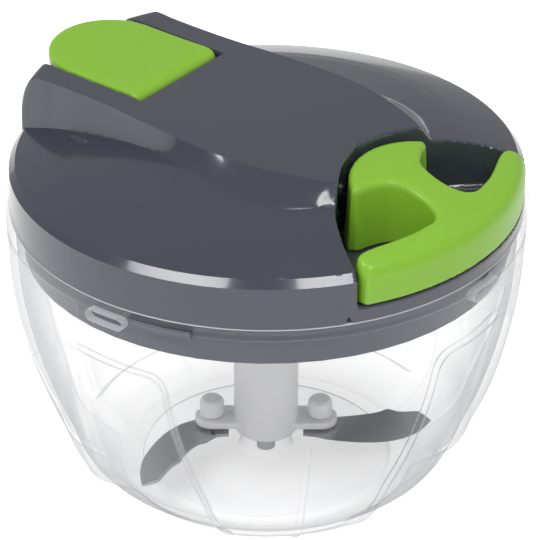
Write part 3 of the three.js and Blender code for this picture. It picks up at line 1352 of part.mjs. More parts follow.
// A thin blade along its route: flat at the root, then leaning with its cutting edge low, and drawn to a point.
function makeBlade(which) {
  const span = BLADE_REACH - TAB_R;
  const outer = BLADE_ROUTE_SHARES[which].map(([x, y]) => [TAB_R + span * x, span * y]);
  const heel = [TAB_R - BLADE_HEEL, outer[0][1]];
  const route = new THREE.SplineCurve(planPoints([heel, ...outer]));
  const rings = Array.from({ length: BLADE_STATIONS + 1 }, (_, i) => {
    const share = i / BLADE_STATIONS;
    const at = route.getPointAt(share);
    const along = route.getTangentAt(share);
    const twist = between(0, (share - TWIST_START_SHARE) / (1 - TWIST_START_SHARE), 1);
    const lean = rad(BLADE_TWIST_DEG) * twist * (2 - twist);
    const z = BLADE_ROOT_Z + BLADE_TIP_RISE * twist;
    const wide = new THREE.Vector3(-along.y * Math.cos(lean), along.x * Math.cos(lean), Math.sin(lean));
    const thick = new THREE.Vector3(along.x, along.y, 0).cross(wide);
    const tip = between(0, (share - TIP_START_SHARE) / (1 - TIP_START_SHARE), 1);
    const halfW = (BLADE_W / 2) * between(0, ROOT_WIDTH_SHARE + share, 1);
    const back = halfW * (1 - TIP_CUT_SHARE * tip);
    const corner = (w, t) =>
      new THREE.Vector3(at.x, at.y, z).addScaledVector(wide, w).addScaledVector(thick, t).toArray();
    const [faceT, edgeT] = [BLADE_T / 2, (BLADE_T / 2) * EDGE_T_SHARE];
    return [
      corner(-halfW, -edgeT),
      corner(-halfW * BEVEL_SHARE, -faceT),
      corner(back, -faceT),
      corner(back, faceT),
      corner(-halfW * BEVEL_SHARE, faceT),
      corner(-halfW, edgeT),
    ];
  });
  const hole = rod(BLADE_HOLE_R, 0, TAB_Z + TAB_T, [TAB_R, 0]);
  return turned(skin(rings).subtract(hole), ROTOR_DEG + 180 * which);
}

// Materials
const plastic = (color, roughness) => new THREE.MeshStandardMaterial({ color, roughness, metalness: 0 });
const metal = (color, roughness) => new THREE.MeshStandardMaterial({ color, roughness, metalness: 1 });
const clearPlastic = new THREE.MeshStandardMaterial({
  color: 0xf2f4f5,
  roughness: 0.08,
  transparent: true,
  opacity: 0.3,
});
const darkPlastic = plastic(0x53565f, 0.3);
const basePlastic = plastic(0x6d7079, 0.35);
const greenPlastic = plastic(0x8cc43f, 0.32);
const whitePlastic = plastic(0xdcdcde, 0.5);
const blackPlastic = plastic(0x2b2d30, 0.5);
const silicone = plastic(0xd8dadc, 0.6);
const cordFibre = plastic(0xe6e6e2, 0.9);
const steel = metal(0x8a8c8e, 0.3);
const springSteel = metal(0x9a9c9f, 0.35);

// The assembly
const chopper = new THREE.Group();

function addPiece(name, solid, material) {
  const mesh = new THREE.Mesh(geometryOf(solid), material);
  mesh.name = name;
  chopper.add(mesh);
}

addPiece("bowl", makeBowl(), clearPlastic);
addPiece("pivot_pin", makePivotPin(), steel);
addPiece("lid_top", makeLidTop(), darkPlastic);
addPiece("lid_base", makeLidBase(), basePlastic);
addPiece("seal_ring", makeSealRing(), silicone);
addPiece("shaft_seal", makeShaftSeal(), silicone);
addPiece("drive_bushing", makeBushing(), whitePlastic);
addPiece("drive_hub", makeDriveHub(), whitePlastic);
addPiece("cord_reel", makeReel(), whitePlastic);
addPiece("reel_axle", makeAxle(), steel);
addPiece("spring_housing", makeSpringHousing(), blackPlastic);
addPiece("recoil_spring", makeSpring(), springSteel);
addPiece("spring_cover", makeSpringCover(), blackPlastic);
addPiece("cord_winding", makeWinding(), cordFibre);
addPiece("cord_lead", makeLead(), cordFibre);
addPiece("cord_knot", makeKnot(), cordFibre);
addPiece("cord_eyelet", makeEyelet(), steel);
addPiece("pull_handle", makeHandle(), greenPlastic);
addPiece("handle_plug", makePlug(), greenPlastic);
addPiece("release_button", makeButton(), greenPlastic);
addPiece("button_pin", makeButtonPin(), steel);
addPiece("button_spring", makeButtonSpring(), springSteel);
addPiece("lock_catch", makeCatch(), blackPlastic);
addPiece("blade_column", makeColumn(), whitePlastic);
LID_SCREW_DEGS.forEach((deg, i) => addPiece("lid_screw_" + (i + 1), makeLidScrew(deg), steel));
HOUSING_SCREW_DEGS.forEach((deg, i) => addPiece("housing_screw_" + (i + 1), makeHousingScrew(deg), steel));
[0, 1].forEach((i) => {
  addPiece("drive_pawl_" + (i + 1), makePawl(PAWL_DEG + 180 * i), blackPlastic);
  addPiece("blade_" + (i + 1), makeBlade(i), steel);
  addPiece("blade_stud_" + (i + 1), makeStud(180 * i), whitePlastic);
});

export default chopper;
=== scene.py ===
"""Pull-cord food chopper: the visible pieces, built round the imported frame.

Sizes are millimetres until a mesh is made. Tables whose name ends in shares hold parts of a named size.
"""
import math

import bmesh
import bpy
import numpy as np
from mathutils import Matrix, Vector


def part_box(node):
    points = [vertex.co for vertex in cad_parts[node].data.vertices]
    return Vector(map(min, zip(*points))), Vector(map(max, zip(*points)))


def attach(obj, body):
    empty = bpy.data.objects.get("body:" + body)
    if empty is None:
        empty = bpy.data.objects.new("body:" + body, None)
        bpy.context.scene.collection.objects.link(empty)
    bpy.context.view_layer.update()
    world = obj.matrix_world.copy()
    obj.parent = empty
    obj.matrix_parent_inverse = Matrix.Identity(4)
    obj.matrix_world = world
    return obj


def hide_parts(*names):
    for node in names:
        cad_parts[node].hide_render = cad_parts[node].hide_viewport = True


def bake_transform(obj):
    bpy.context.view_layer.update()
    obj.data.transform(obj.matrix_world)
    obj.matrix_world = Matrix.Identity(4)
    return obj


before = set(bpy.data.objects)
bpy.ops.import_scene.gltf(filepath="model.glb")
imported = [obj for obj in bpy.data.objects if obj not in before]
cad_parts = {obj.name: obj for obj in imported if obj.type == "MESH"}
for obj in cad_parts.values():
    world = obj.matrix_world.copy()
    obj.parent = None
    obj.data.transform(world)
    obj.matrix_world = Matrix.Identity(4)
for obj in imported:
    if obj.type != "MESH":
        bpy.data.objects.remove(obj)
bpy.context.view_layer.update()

MM = 0.001
OVERRUN = 3.0  # how far a cutting form runs past what it cuts
SHARP_DEG = 26  # edges that turn by more than this stay sharp
TINY = 1e-9  # keeps a division from meeting zero
SETTLE_ROUNDS = 3  # how often a crossing is moved closer to the surface
SLOPE_REACH_SHARE = 0.04  # how far each side of a crossing its slope is taken, of a grid step
CORNER_HOLD = 0.01  # how firmly a corner stays at the middle of its cell's crossings
CORNER_REACH_SHARE = 0.9  # how far a corner may move from there, of a grid step

# Camera: the photograph's direction, distance and framing
CAMERA_BEARING = -54.2
CAMERA_ELEVATION = 30.24
CAMERA_DISTANCE = 650.0
CAMERA_TARGET = (0.71, 0.51, 54.78)
CAMERA_ROLL = 0.23
CAMERA_LENS = 172.71
SENSOR_WIDTH = 36.0

# Bowl
RIM_R = 65.0
RIM_Z = 75.2
RIM_BEAD_H = 1.6
RIM_ROUND = 0.3
BAND_R = 64.1
BAND_IN_R = 62.0
BAND_Z = 67.5
BAND_BLEND_W = 0.15
BAND_BLEND_H = 0.5
WALL_R = 64.0
BOWL_WALL = 2.0
FOOT_R = 37.4
FOOT_RING_W = 5.0
FOOT_RECESS = 1.2
FOOT_LIFT = 0.05
FLOOR_Z = 2.6
BOSS_R = 6.5
BOSS_Z = 7.2
BOWL_STEPS = 960
FLUTE_COUNT = 4
FLUTE_DEPTH = 2.2
FLUTE_TOP_Z = 60.4
FLUTE_TOP_DEG = 14.6
FLUTE_FOOT_DEG = 26.0
FLUTE_FLARE_POWER = 1.6
FLUTE_SLOPE_W = 3.3
FLUTE_CORNER_R = 6.0
FLUTE_RIDGE_H = 0.3
FLUTE_RIDGE_W = 0.8
PANEL_HALF_DEG = 7.3
PANEL_LOW_Z = 58.5
PANEL_H = 0.28
PANEL_SIDE_W = 0.35
PANEL_FADE = 0.7
RIB_HALF_W = 0.65
RIB_H = 0.7
RIB_SIDE_W = 0.5
RIB_SIDE_OUT = 0.4
RIB_TOP_Z = 44.5
RIB_TOP_FADE = 1.2
RIB_LOW_Z = 1.0
RIB_LOW_FADE = 3.0
WINDOW_Z = 71.5
WINDOW_HALF_W = 5.5
WINDOW_HALF_H = 1.5
WINDOW_STEPS = 28
LUG_HALF_W = 3.5
LUG_H = 1.4
LUG_REACH = 1.7
LUG_DRAFT = 0.05
SEAL_IN_R = 60.6

# Lid
LID_R = 63.5
LID_Z = 76.2
LID_WALL = 2.2
LID_DRAFT = 0.5
LID_TOP_Z = 103.6
LID_EDGE_ROUND = 0.3
SHOULDER_Z = 86.3
SHOULDER_W = 1.5
SHOULDER_H = 1.7
DOME_EDGE_R = 61.4
DOME_EDGE_Z = 88.1
DOME_RISE = 9.9
CREASE_R = 45.6
CREASE_DIP = 0.5
OUTER_CREASE_R = 50.0
OUTER_CREASE_DIP = 0.14
PLATE_TOP_Z = 78.5
MARK_DEG = -37.0
MARK_TOP_Z = 77.9
MARK_HALF_DEG = 30.0
POCKET_FLOOR_Z = 79.6
POCKET_ROUND = 1.2
EYELET_HOLE_R = 2.6
BRIDGE_TOP_Z = 100.0
BRIDGE_SLOPE = 0.05
BRIDGE_BEND = 0.00055
BRIDGE_ROUND = 0.8
BRIDGE_SIDE_POWER = 1.35
BRIDGE_LEAST_H = 1.0
BRIDGE_END_R = 55.0
BRIDGE_END_Z = 91.0
BRIDGE_END_W = 7.7
BRIDGE_END_H = 13.2
DENT_PLACE = (-37.2, 28.2, 92.5)
DENT_SIZE = (4.2, 1.0, 1.0)
DENT_DEG = 10.0
WELL_FLOOR_Z = 96.5
WELL_EDGE_ROUND = 0.4

# Handle
HANDLE_R = 63.2
HANDLE_BOTTOM_Z = 80.0
HANDLE_BACK_Z = 97.2
HANDLE_DRAFT = 0.06
HANDLE_CORE_X = 47.5
HANDLE_CORE_R = 19.3
HANDLE_CORE_END_DEG = 134.0
HANDLE_HALF_DEG = 32.8
HANDLE_ROUND = 1.7
HANDLE_FACE_ROUND = 4.5
HANDLE_FOOT_ROUND = 0.3
KNOT_ROOM_R = 3.0
KNOT_ROOM_H = 2.6

# Cord
CORD_R = 0.72
CORD_LAY = 4.0  # length of one turn of its strands
CORD_GROOVE = 0.16
CORD_STRANDS = 3
CORD_SIDES = 12
WIND_TURNS = 2.4
WIND_IN_R = 18.06
WIND_PITCH = 1.95
WIND_LEAVE_DEG = 16.7
WIND_STEPS = 180  # stations in one turn
KNOT_STEPS = 96

# Button
BUTTON_HALF_W = 16.1
BUTTON_IN_X = -26.2
BUTTON_OUT_X = -63.45
BUTTON_END_LEN = 14.5
BUTTON_IN_Z = 102.2
BUTTON_RISE = 1.8
BUTTON_T = 3.2
BUTTON_GAP = 0.5
BUTTON_ROLL = 4.6
BUTTON_ROUND = 1.1
BUTTON_CORNER = 2.4
BUTTON_FILLET = 0.4
BARREL_R = 2.2
BARREL_BORE_R = 1.2
LEG_DEG = 192.0
LEG_R = 56.7
LEG_HALF_T = 0.9
LEG_HALF_W = 2.8
LEG_SWING = 3.0  # extra room on the inner side of the leg's slot
SPRING_ROOM_R = 3.6
SPRING_ROOM_DEPTH = 6.5

# Rotor
ROTOR_DEG = 35.8
COLUMN_R = 8.25
COLUMN_LOW_Z = 7.9
COLUMN_TOP_Z = 62.2
COLUMN_ROUND = 1.2
COLUMN_BORE_R = 2.8
COLUMN_BORE_TOP_Z = 24.4
COLUMN_BORE_ROUND = 0.2
SPIGOT_R = 5.2
SPIGOT_TOP_Z = 74.0
SPIGOT_ROUND = 1.0
SPIGOT_FILLET = 0.6
CLAW_R = 7.6
CLAW_HALF_DEG = 15.0
CLAW_LOW_Z = 66.0
CLAW_TOP_Z = 73.0
CLAW_FILLET = 0.3
TAB_R = 14.0
TAB_END_R = 4.4
TAB_Z = 10.55
TAB_HALF_T = 0.95
TAB_ROUND = 0.5
TAB_FILLET = 1.2
STUD_R = 3.15
STUD_SHANK_R = 1.6
STUD_LOW_Z = 11.8
STUD_TOP_Z = 16.9
BLADE_REACH = 41.0
BLADE_HEEL = 4.4
BLADE_Z = 8.4
BLADE_RISE = 1.5
BLADE_LEAN_DEG = 15.0
BLADE_HALF_W = 5.25
BLADE_HALF_T = 0.45
BLADE_EDGE_HALF_T = 0.08


def rad(deg):
    return math.radians(deg)


def smooth_max(a, b, k):
    """The larger of two fields, with a fillet of about k where they meet."""
    h = np.clip(0.5 + 0.5 * (a - b) / k, 0, 1)
    return b + (a - b) * h + k * h * (1 - h)


def smooth_min(a, b, k):
    return -smooth_max(-a, -b, k)


def largest(*fields):
    best = fields[0]
    for field in fields[1:]:
        best = np.maximum(best, field)
    return best


def ease(share):
    share = np.clip(share, 0, 1)
    return share * share * (3 - 2 * share)


def node_centre(node):
    """Middle of a CAD node's box in millimetres."""
    low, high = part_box(node)
    return [(a + b) / 2 / MM for a, b in zip(low, high)]


# Meshes from fields


def stepped(*stops):
    """Places from the first stop to the last, each stop with the step that follows it."""
    places = []
    for (low, step), (high, _) in zip(stops, stops[1:]):
        count = max(1, round((high - low) / step))
        places.extend(np.linspace(low, high, count, endpoint=False))
    return np.array(places + [stops[-1][0]])


def solid_mesh(name, field, low, high, step, levels=None):
    """The surface where a field is zero, as quads whose corners keep the field's sharp edges."""
    axes = [np.arange(a - step / 2, b + step, step) for a, b in zip(low, high)]
    if levels is not None:
        axes[2] = levels
    x, y, z = axes[0][:, None, None], axes[1][None, :, None], axes[2][None, None, :]
    values = np.broadcast_to(field(x, y, z), [len(a) for a in axes])
    inside = values < 0
    shape = tuple(n - 1 for n in inside.shape)
    cells, places, normals, faces = [], [], [], []
    for axis in range(3):
        at, points, slopes = crossings(values, axes, axis, field, step)
        around = cells_around(at, axis, shape)
        keep = (around >= 0).all(0)
        cells.append(around[:, keep].ravel())
        places.append(np.tile(points[keep], (4, 1)))
        normals.append(np.tile(slopes[keep], (4, 1)))
        quad = around[:, keep].T
        flip = ~inside[at][keep]
        quad[flip] = quad[flip][:, ::-1]
        faces.append(quad)
    used, index = np.unique(np.concatenate(cells), return_inverse=True)
    corners = corner_points(index, len(used), np.concatenate(places), np.concatenate(normals), step)
    return mesh_object(name, corners, np.searchsorted(used, np.concatenate(faces)))


def crossings(values, axes, axis, field, step):
    """Where the surface crosses the grid lines along an axis, with the field's slope there."""
    first = np.take(values, range(values.shape[axis] - 1), axis)
    second = np.take(values, range(1, values.shape[axis]), axis)
    at = np.nonzero((first < 0) != (second < 0))
    low = np.stack([axes[i][at[i]] for i in range(3)], 1)
    high = low.copy()
    high[:, axis] = axes[axis][at[axis] + 1]
    f_low, f_high = first[at], second[at]
    for _ in range(SETTLE_ROUNDS):
        share = (f_low / (f_low - f_high))[:, None]
        points = low + (high - low) * share
        here = field(*points.T)
        same = (here < 0) == (f_low < 0)
        low, f_low = np.where(same[:, None], points, low), np.where(same, here, f_low)
        high, f_high = np.where(same[:, None], high, points), np.where(same, f_high, here)
    reach = step * SLOPE_REACH_SHARE
    slopes = []
    for i in range(3):
        shift = np.eye(3)[i] * reach
        slopes.append(field(*(points + shift).T) - field(*(points - shift).T))
    slopes = np.stack(slopes, 1)
    return at, points, slopes / np.maximum(np.linalg.norm(slopes, axis=1), TINY)[:, None]


def cells_around(at, axis, shape):
    """Numbers of the four cells round each crossed grid line, in turning order, -1 past the grid's edge."""
    u, v = [i for i in range(3) if i != axis]
    if axis == 1:
        u, v = v, u
    around = []
    for du, dv in ((1, 1), (0, 1), (0, 0), (1, 0)):
        cell = [np.array(i) for i in at]
        cell[u] = cell[u] - du
        cell[v] = cell[v] - dv
        within = np.all([(c >= 0) & (c < n) for c, n in zip(cell, shape)], 0)
        clipped = [np.clip(c, 0, n - 1) for c, n in zip(cell, shape)]
        around.append(np.where(within, np.ravel_multi_index(clipped, shape), -1))
    return np.array(around)


def corner_points(index, count, places, normals, step):
    """The point of each cell that lies nearest to all the planes through its crossings."""
    hits = np.bincount(index, minlength=count)[:, None]
    middle = np.stack([np.bincount(index, places[:, i], count) for i in range(3)], 1) / hits
    squares = np.zeros((count, 3, 3))
    sums = np.zeros((count, 3))
    gap = ((places - middle[index]) * normals).sum(1)
    for i in range(3):
        sums[:, i] = np.bincount(index, normals[:, i] * gap, count)
        for j in range(3):
            squares[:, i, j] = np.bincount(index, normals[:, i] * normals[:, j], count)
    squares += np.eye(3) * CORNER_HOLD
    move = np.linalg.solve(squares, sums[:, :, None])[:, :, 0]
    length = np.linalg.norm(move, axis=1)[:, None]
    return middle + move * np.minimum(1, CORNER_REACH_SHARE * step / np.maximum(length, TINY))


def mesh_object(name, points, faces, turn_out=False):
    mesh = bpy.data.meshes.new(name)
    mesh.from_pydata([tuple(p) for p in np.asarray(points) * MM], [], [tuple(f) for f in faces])
    mesh.update()
    mesh.validate()
    if turn_out:
        outward(mesh)
    mesh.shade_smooth()
    mesh.set_sharp_from_angle(angle=rad(SHARP_DEG))
    obj = bpy.data.objects.new(name, mesh)
    bpy.context.scene.collection.objects.link(obj)
    return obj


def outward(mesh):
    """Turns every face's normal outward."""
    work = bmesh.new()
    work.from_mesh(mesh)
    bmesh.ops.recalc_face_normals(work, faces=work.faces)
    work.to_mesh(mesh)
    work.free()


def ring_mesh(name, rings, caps=True):
    """A skin over rings of points of one count. Without caps the last ring joins the first."""
    rings = np.asarray(rings, float)
    levels, size = rings.shape[:2]
    faces = []
    for i in range(levels - 1 if caps else levels):
        a, b = i * size, ((i + 1) % levels) * size
        for j in range(size):
            k = (j + 1) % size
            faces.append((a + j, a + k, b + k, b + j))
    if caps:
        faces.append(tuple(range(size - 1, -1, -1)))
        faces.append(tuple(range((levels - 1) * size, levels * size)))
    return mesh_object(name, rings.reshape(-1, 3), faces, turn_out=True)


def lathe(name, profile, steps=160, caps=False, centre=(0, 0)):
    """A form revolved about an upright axis from (radius, height) pairs."""
    turns = np.linspace(0, 2 * math.pi, steps, endpoint=False)
    cx, cy = centre
    rings = [[(cx + r * math.cos(t), cy + r * math.sin(t), z) for t in turns] for r, z in profile]
    return ring_mesh(name, rings, caps=caps)


def cord_mesh(name, path, closed=False):
    """A laid cord along a path: its strands show as grooves that wind round it."""
    line = np.array(path, float)
    ahead = np.roll(line, -1, 0) - np.roll(line, 1, 0) if closed else np.gradient(line, axis=0)
    ahead /= np.linalg.norm(ahead, axis=1)[:, None]
    side = np.cross(ahead, (0, 0, 1))
    side /= np.linalg.norm(side, axis=1)[:, None]
    top = np.cross(side, ahead)
    along = np.concatenate([[0], np.cumsum(np.linalg.norm(np.diff(line, axis=0), axis=1))])
    rings = []
    for i in range(len(line)):
        ring = []
        for j in range(CORD_SIDES):
            turn = 2 * math.pi * j / CORD_SIDES
            groove = abs(math.sin(CORD_STRANDS / 2 * (turn + math.pi * along[i] / CORD_LAY))) ** 0.5
            radius = CORD_R * (1 - CORD_GROOVE + CORD_GROOVE * groove)
            ring.append(line[i] + radius * (math.cos(turn) * side[i] + math.sin(turn) * top[i]))
        rings.append(ring)
    return ring_mesh(name, rings, caps=not closed)


def polygon_distance(x, y, points):
    """Distance to a closed outline in plan, negative inside."""
    x, y = np.broadcast_arrays(x, y)
    best = np.full(x.shape, np.inf)
    inside = np.zeros(x.shape, bool)
    for (ax, ay), (bx, by) in zip(points, points[1:] + points[:1]):
        ex, ey = bx - ax, by - ay
        wx, wy = x - ax, y - ay
        share = np.clip((wx * ex + wy * ey) / (ex * ex + ey * ey), 0, 1)
        best = np.minimum(best, (wx - ex * share) ** 2 + (wy - ey * share) ** 2)
        between = (ay > y) != (by > y)
        side = ex * wy / np.where(ey == 0, TINY, ey) + ax
        inside ^= between & (x < side)
    return np.where(inside, -1, 1) * np.sqrt(best)


def spline(points, steps):
    """A smooth line through points, with even parameter steps in each span."""
    p = [np.array(q, float) for q in points]
    p = [2 * p[0] - p[1]] + p + [2 * p[-1] - p[-2]]
    line = []
    for a, b, c, d in zip(p, p[1:], p[2:], p[3:]):
        for i in range(steps):
            t = i / steps
            bend = (2 * a - 5 * b + 4 * c - d) * t * t + (3 * b - a - 3 * c + d) * t**3
            line.append(0.5 * (2 * b + (c - a) * t + bend))
    line.append(p[-2])
    return [tuple(q) for q in line]


def scaled(shares, *sizes):
    """Points from shares of a size, or of one size for each coordinate."""
    sizes = sizes * 2 if len(sizes) == 1 else sizes
    return [tuple(s * size for s, size in zip(point, sizes)) for point in shares]


def mirrored(half, ends=0):
    """A closed outline from the half of it on one side of the X axis."""
    return half + [(x, -y) for x, y in reversed(half[1:len(half) - ends])]


# Materials

COAT_ROUGHNESS = 0.08
SCATTER_REACH = (0.004, 0.004, 0.003)  # metres that red, green and blue light travel inside
MOTTLE_SCALE = 60
GRAIN_SCALE = 900
GRAIN_DEPTH = 0.0002
GLOSS_SPREAD = 0.15
CLEAR_TINT = 0.99


def srgb(value):
    v = value / 255
    return v / 12.92 if v <= 0.04045 else ((v + 0.055) / 1.055) ** 2.4


def plastic(name, colour, roughness, grain=0.02, mottle=0.03, coat=0.0, subsurface=0.0):
    """A moulded plastic: a faint mottle in its colour and a fine grain in its gloss and surface."""
    mat = bpy.data.materials.new(name)
    mat.use_nodes = True
    nodes, links = mat.node_tree.nodes, mat.node_tree.links
    shader = nodes["Principled BSDF"]
    shader.inputs["Coat Weight"].default_value = coat
    shader.inputs["Coat Roughness"].default_value = COAT_ROUGHNESS
    if subsurface:
        shader.inputs["Subsurface Weight"].default_value = subsurface
        shader.inputs["Subsurface Radius"].default_value = SCATTER_REACH
        shader.inputs["Subsurface Scale"].default_value = 1.0
    place = nodes.new("ShaderNodeTexCoord")
    cloud = nodes.new("ShaderNodeTexNoise")
    cloud.inputs["Scale"].default_value = MOTTLE_SCALE
    cloud.inputs["Detail"].default_value = 4
    links.new(place.outputs["Object"], cloud.inputs["Vector"])
    ramp = nodes.new("ShaderNodeValToRGB")
    linear = [srgb(c) for c in colour]
    for stop, share in zip(ramp.color_ramp.elements, (1 - mottle, 1 + mottle)):
        stop.color = [c * share for c in linear] + [1]
    links.new(cloud.outputs["Fac"], ramp.inputs["Fac"])
    links.new(ramp.outputs["Color"], shader.inputs["Base Color"])
    grains = nodes.new("ShaderNodeTexNoise")
    grains.inputs["Scale"].default_value = GRAIN_SCALE
    grains.inputs["Detail"].default_value = 3
    links.new(place.outputs["Object"], grains.inputs["Vector"])
    gloss = nodes.new("ShaderNodeMapRange")
    gloss.inputs["To Min"].default_value = roughness * (1 - GLOSS_SPREAD)
    gloss.inputs["To Max"].default_value = roughness * (1 + GLOSS_SPREAD)
    links.new(grains.outputs["Fac"], gloss.inputs["Value"])
    links.new(gloss.outputs["Result"], shader.inputs["Roughness"])
    bump = nodes.new("ShaderNodeBump")
    bump.inputs["Strength"].default_value = grain
    bump.inputs["Distance"].default_value = GRAIN_DEPTH
    links.new(grains.outputs["Fac"], bump.inputs["Height"])
    links.new(bump.outputs["Normal"], shader.inputs["Normal"])
    return mat


def metal(name, colour, roughness, brushed=0.12):
    """A metal with the same mottle and grain as the plastics, both stronger."""
    mat = plastic(name, colour, roughness, grain=brushed, mottle=0.06)
    mat.node_tree.nodes["Principled BSDF"].inputs["Metallic"].default_value = 1
    return mat


def clear_plastic(name, colour, faced_paint_share=0.012, edge=0.7, power=2.6):
    """Clear moulded plastic: see-through when faced, with a pale glossy skin where it turns away.

    The skin's pale grey is painted light, standing in for what an edge-on wall reflects and bends; its gloss
    is real.
    It throws no shadow. faced_paint_share is the skin's share when faced, edge its share edge-on, and power
    how late it rises between them.
    """
    mat = plastic(name, colour, 0.12, grain=0.01)
    nodes, links = mat.node_tree.nodes, mat.node_tree.links
    facing = nodes.new("ShaderNodeLayerWeight")
    facing.inputs["Blend"].default_value = 0.5
    curve = nodes.new("ShaderNodeMath")
    curve.operation = "POWER"
    curve.inputs[1].default_value = power
    links.new(facing.outputs["Facing"], curve.inputs[0])
    share = nodes.new("ShaderNodeMapRange")
    share.inputs["To Min"].default_value = faced_paint_share
    share.inputs["To Max"].default_value = edge
    links.new(curve.outputs[0], share.inputs["Value"])
    path = nodes.new("ShaderNodeLightPath")
    lit = nodes.new("ShaderNodeMath")
    lit.operation = "SUBTRACT"
    lit.inputs[0].default_value = 1
    links.new(path.outputs["Is Shadow Ray"], lit.inputs[1])
    # The skin's share: its grey is painted reflection and bending of light at the edge-on wall, and shadow
    # rays get none
    skin = nodes.new("ShaderNodeMath")
    skin.operation = "MULTIPLY"
    links.new(share.outputs["Result"], skin.inputs[0])
    links.new(lit.outputs[0], skin.inputs[1])
    see_through = nodes.new("ShaderNodeBsdfTransparent")
    see_through.inputs["Color"].default_value = (CLEAR_TINT, CLEAR_TINT, CLEAR_TINT, 1)
    mix = nodes.new("ShaderNodeMixShader")
    links.new(skin.outputs[0], mix.inputs["Fac"])
    links.new(see_through.outputs["BSDF"], mix.inputs[1])
    links.new(nodes["Principled BSDF"].outputs["BSDF"], mix.inputs[2])
    links.new(mix.outputs["Shader"], nodes["Material Output"].inputs["Surface"])
    return mat


dark = plastic("dark_gloss", (58, 61, 73), 0.2, grain=0.015, mottle=0.02, coat=1.0)
base_grey = plastic("base_grey", (86, 89, 99), 0.3, grain=0.02)
green = plastic("green_plastic", (132, 183, 50), 0.3, grain=0.015, mottle=0.02, subsurface=0.2)
milky = plastic("frosted_look", (240, 240, 242), 0.4, grain=0.03, subsurface=0.3)
black = plastic("black_plastic", (48, 50, 54), 0.45, grain=0.05)
rubber = plastic("seal_rubber", (206, 208, 212), 0.55, grain=0.05)
fibre = plastic("cord_fibre", (226, 226, 220), 0.85, grain=0.6, mottle=0.12)
steel = metal("steel", (150, 151, 154), 0.3)
blade_steel = metal("blade_steel", (184, 184, 187), 0.36)
bright_steel = metal("bright_steel", (222, 223, 226), 0.22)
spring_steel = metal("spring_steel", (150, 152, 156), 0.32)
# Its grey is painted: it stands for the light that the bowl's wall reflects and bends where it is seen
# edge-on
clear = clear_plastic("clear_plastic", (200, 201, 204))
# The windows' cut faces: whiter and half covered even when faced, a painted highlight where light catches
# the cut edges
cut_edge_painted_highlight = clear_plastic("clear_cut_edge_painted_highlight", (240, 240, 242), faced_paint_share=0.45, edge=0.9)


def dress(obj, material, slot, body, *nodes):
    """Gives a piece its material and body, and hides the CAD nodes that it stands for. The slot is not used.
    """
    obj.data.materials.clear()
    obj.data.materials.append(material)
    if body:
        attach(obj, body)
    if nodes:
        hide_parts(*nodes)
    return obj


# Lid cover

CORD_Z = node_centre("cord_knot")[2]
KNOT_X = node_centre("cord_knot")[0]
PIN_X, _, PIN_Z = node_centre("button_pin")
SPRING_X = node_centre("button_spring")[0]

# Half the width of the bridge's top along it, and how far its side runs out before it meets the dome
BRIDGE_HALF_W_SHARES = [
    (-1.102, 0.383),
    (-0.85, 0.381),
    (-0.709, 0.372),
    (-0.472, 0.375),
    (-0.236, 0.395),
    (0.0, 0.409),
    (0.126, 0.402),
    (0.252, 0.381),
    (0.378, 0.342),
    (0.472, 0.302),
    (0.567, 0.252),
    (0.7, 0.19),
]
FLANK_RUN_SHARES = [
    (-1.102, 0.009),
    (-0.913, 0.009),
    (-0.787, 0.014),
    (-0.661, 0.022),
    (-0.504, 0.022),
    (-0.331, 0.015),
    (-0.205, 0.02),
    (-0.094, 0.034),
    (-0.027, 0.049),
    (0.039, 0.067),
    (0.128, 0.094),
    (0.214, 0.12),
    (0.324, 0.132),
    (0.419, 0.126),
    (0.482, 0.098),
    (0.537, 0.065),
    (0.7, 0.039),
]
LEAST_BEND_SHARE = 0.05
POCKET_BEND_SHARES = [(0.417, 0.0), (0.45, 0.142), (0.52, 0.276), (0.575, 0.37), (0.677, 0.472)]
POCKET_SIDE_SHARES = [(0.677, 0.472), (0.813, 0.57), (0.898, 0.627), (1.102, 0.724)]


def profile_line(shares, *sizes, steps=6):
    """A smooth line through scaled shares, as its two rows of coordinates."""
    return np.array(spline(scaled(shares, *sizes), steps)).T


BRIDGE_HALF_WIDTHS = profile_line(BRIDGE_HALF_W_SHARES, LID_R)
FLANK_RUNS = profile_line(FLANK_RUN_SHARES, LID_R)
POCKET = mirrored(
    spline(scaled(POCKET_BEND_SHARES, LID_R), 5)[:-1] + spline(scaled(POCKET_SIDE_SHARES, LID_R), 4)
)


def dome_z(r):
    """Height of the dome: a shallow dish inside the crease, and a fainter crease round it."""
    dish = CREASE_DIP * np.sin(math.pi * np.clip(2 * (1 - r / CREASE_R), 0, 1))
    step = OUTER_CREASE_DIP * np.clip((OUTER_CREASE_R - r) / (OUTER_CREASE_R - CREASE_R), 0, 1)
    return DOME_EDGE_Z + DOME_RISE * (1 - (r / DOME_EDGE_R) ** 2) - dish - step


def bridge_z(x):
    return BRIDGE_TOP_Z - BRIDGE_SLOPE * x - BRIDGE_BEND * np.maximum(x, 0) ** 2


def bridge_field(x, y, z):
    """The raised bridge: upright sides that open into coves towards the handle."""
    r = np.hypot(x, y)
    top = bridge_z(x)
    half = np.interp(x, *BRIDGE_HALF_WIDTHS)
    run = np.interp(x, *FLANK_RUNS)
    height = np.maximum(top - dome_z(r), BRIDGE_LEAST_H)
    out = np.abs(y) - half
    share = np.clip((z - dome_z(r)) / height, 0, 1)
    foot = run * (1 - share ** (1 / BRIDGE_SIDE_POWER))
    bend = np.maximum(share, LEAST_BEND_SHARE) ** (1 / BRIDGE_SIDE_POWER - 1)
    lean = run / (BRIDGE_SIDE_POWER * height) * bend
    flank = (out - foot) / np.sqrt(1 + lean**2)
    er = np.maximum(r - BRIDGE_END_R, 0) / BRIDGE_END_W
    ez = np.maximum(z - BRIDGE_END_Z, 0) / BRIDGE_END_H
    end = (np.hypot(er, ez) - 1) * BRIDGE_END_W
    return smooth_max(np.maximum(z - top, flank), end, BRIDGE_ROUND)


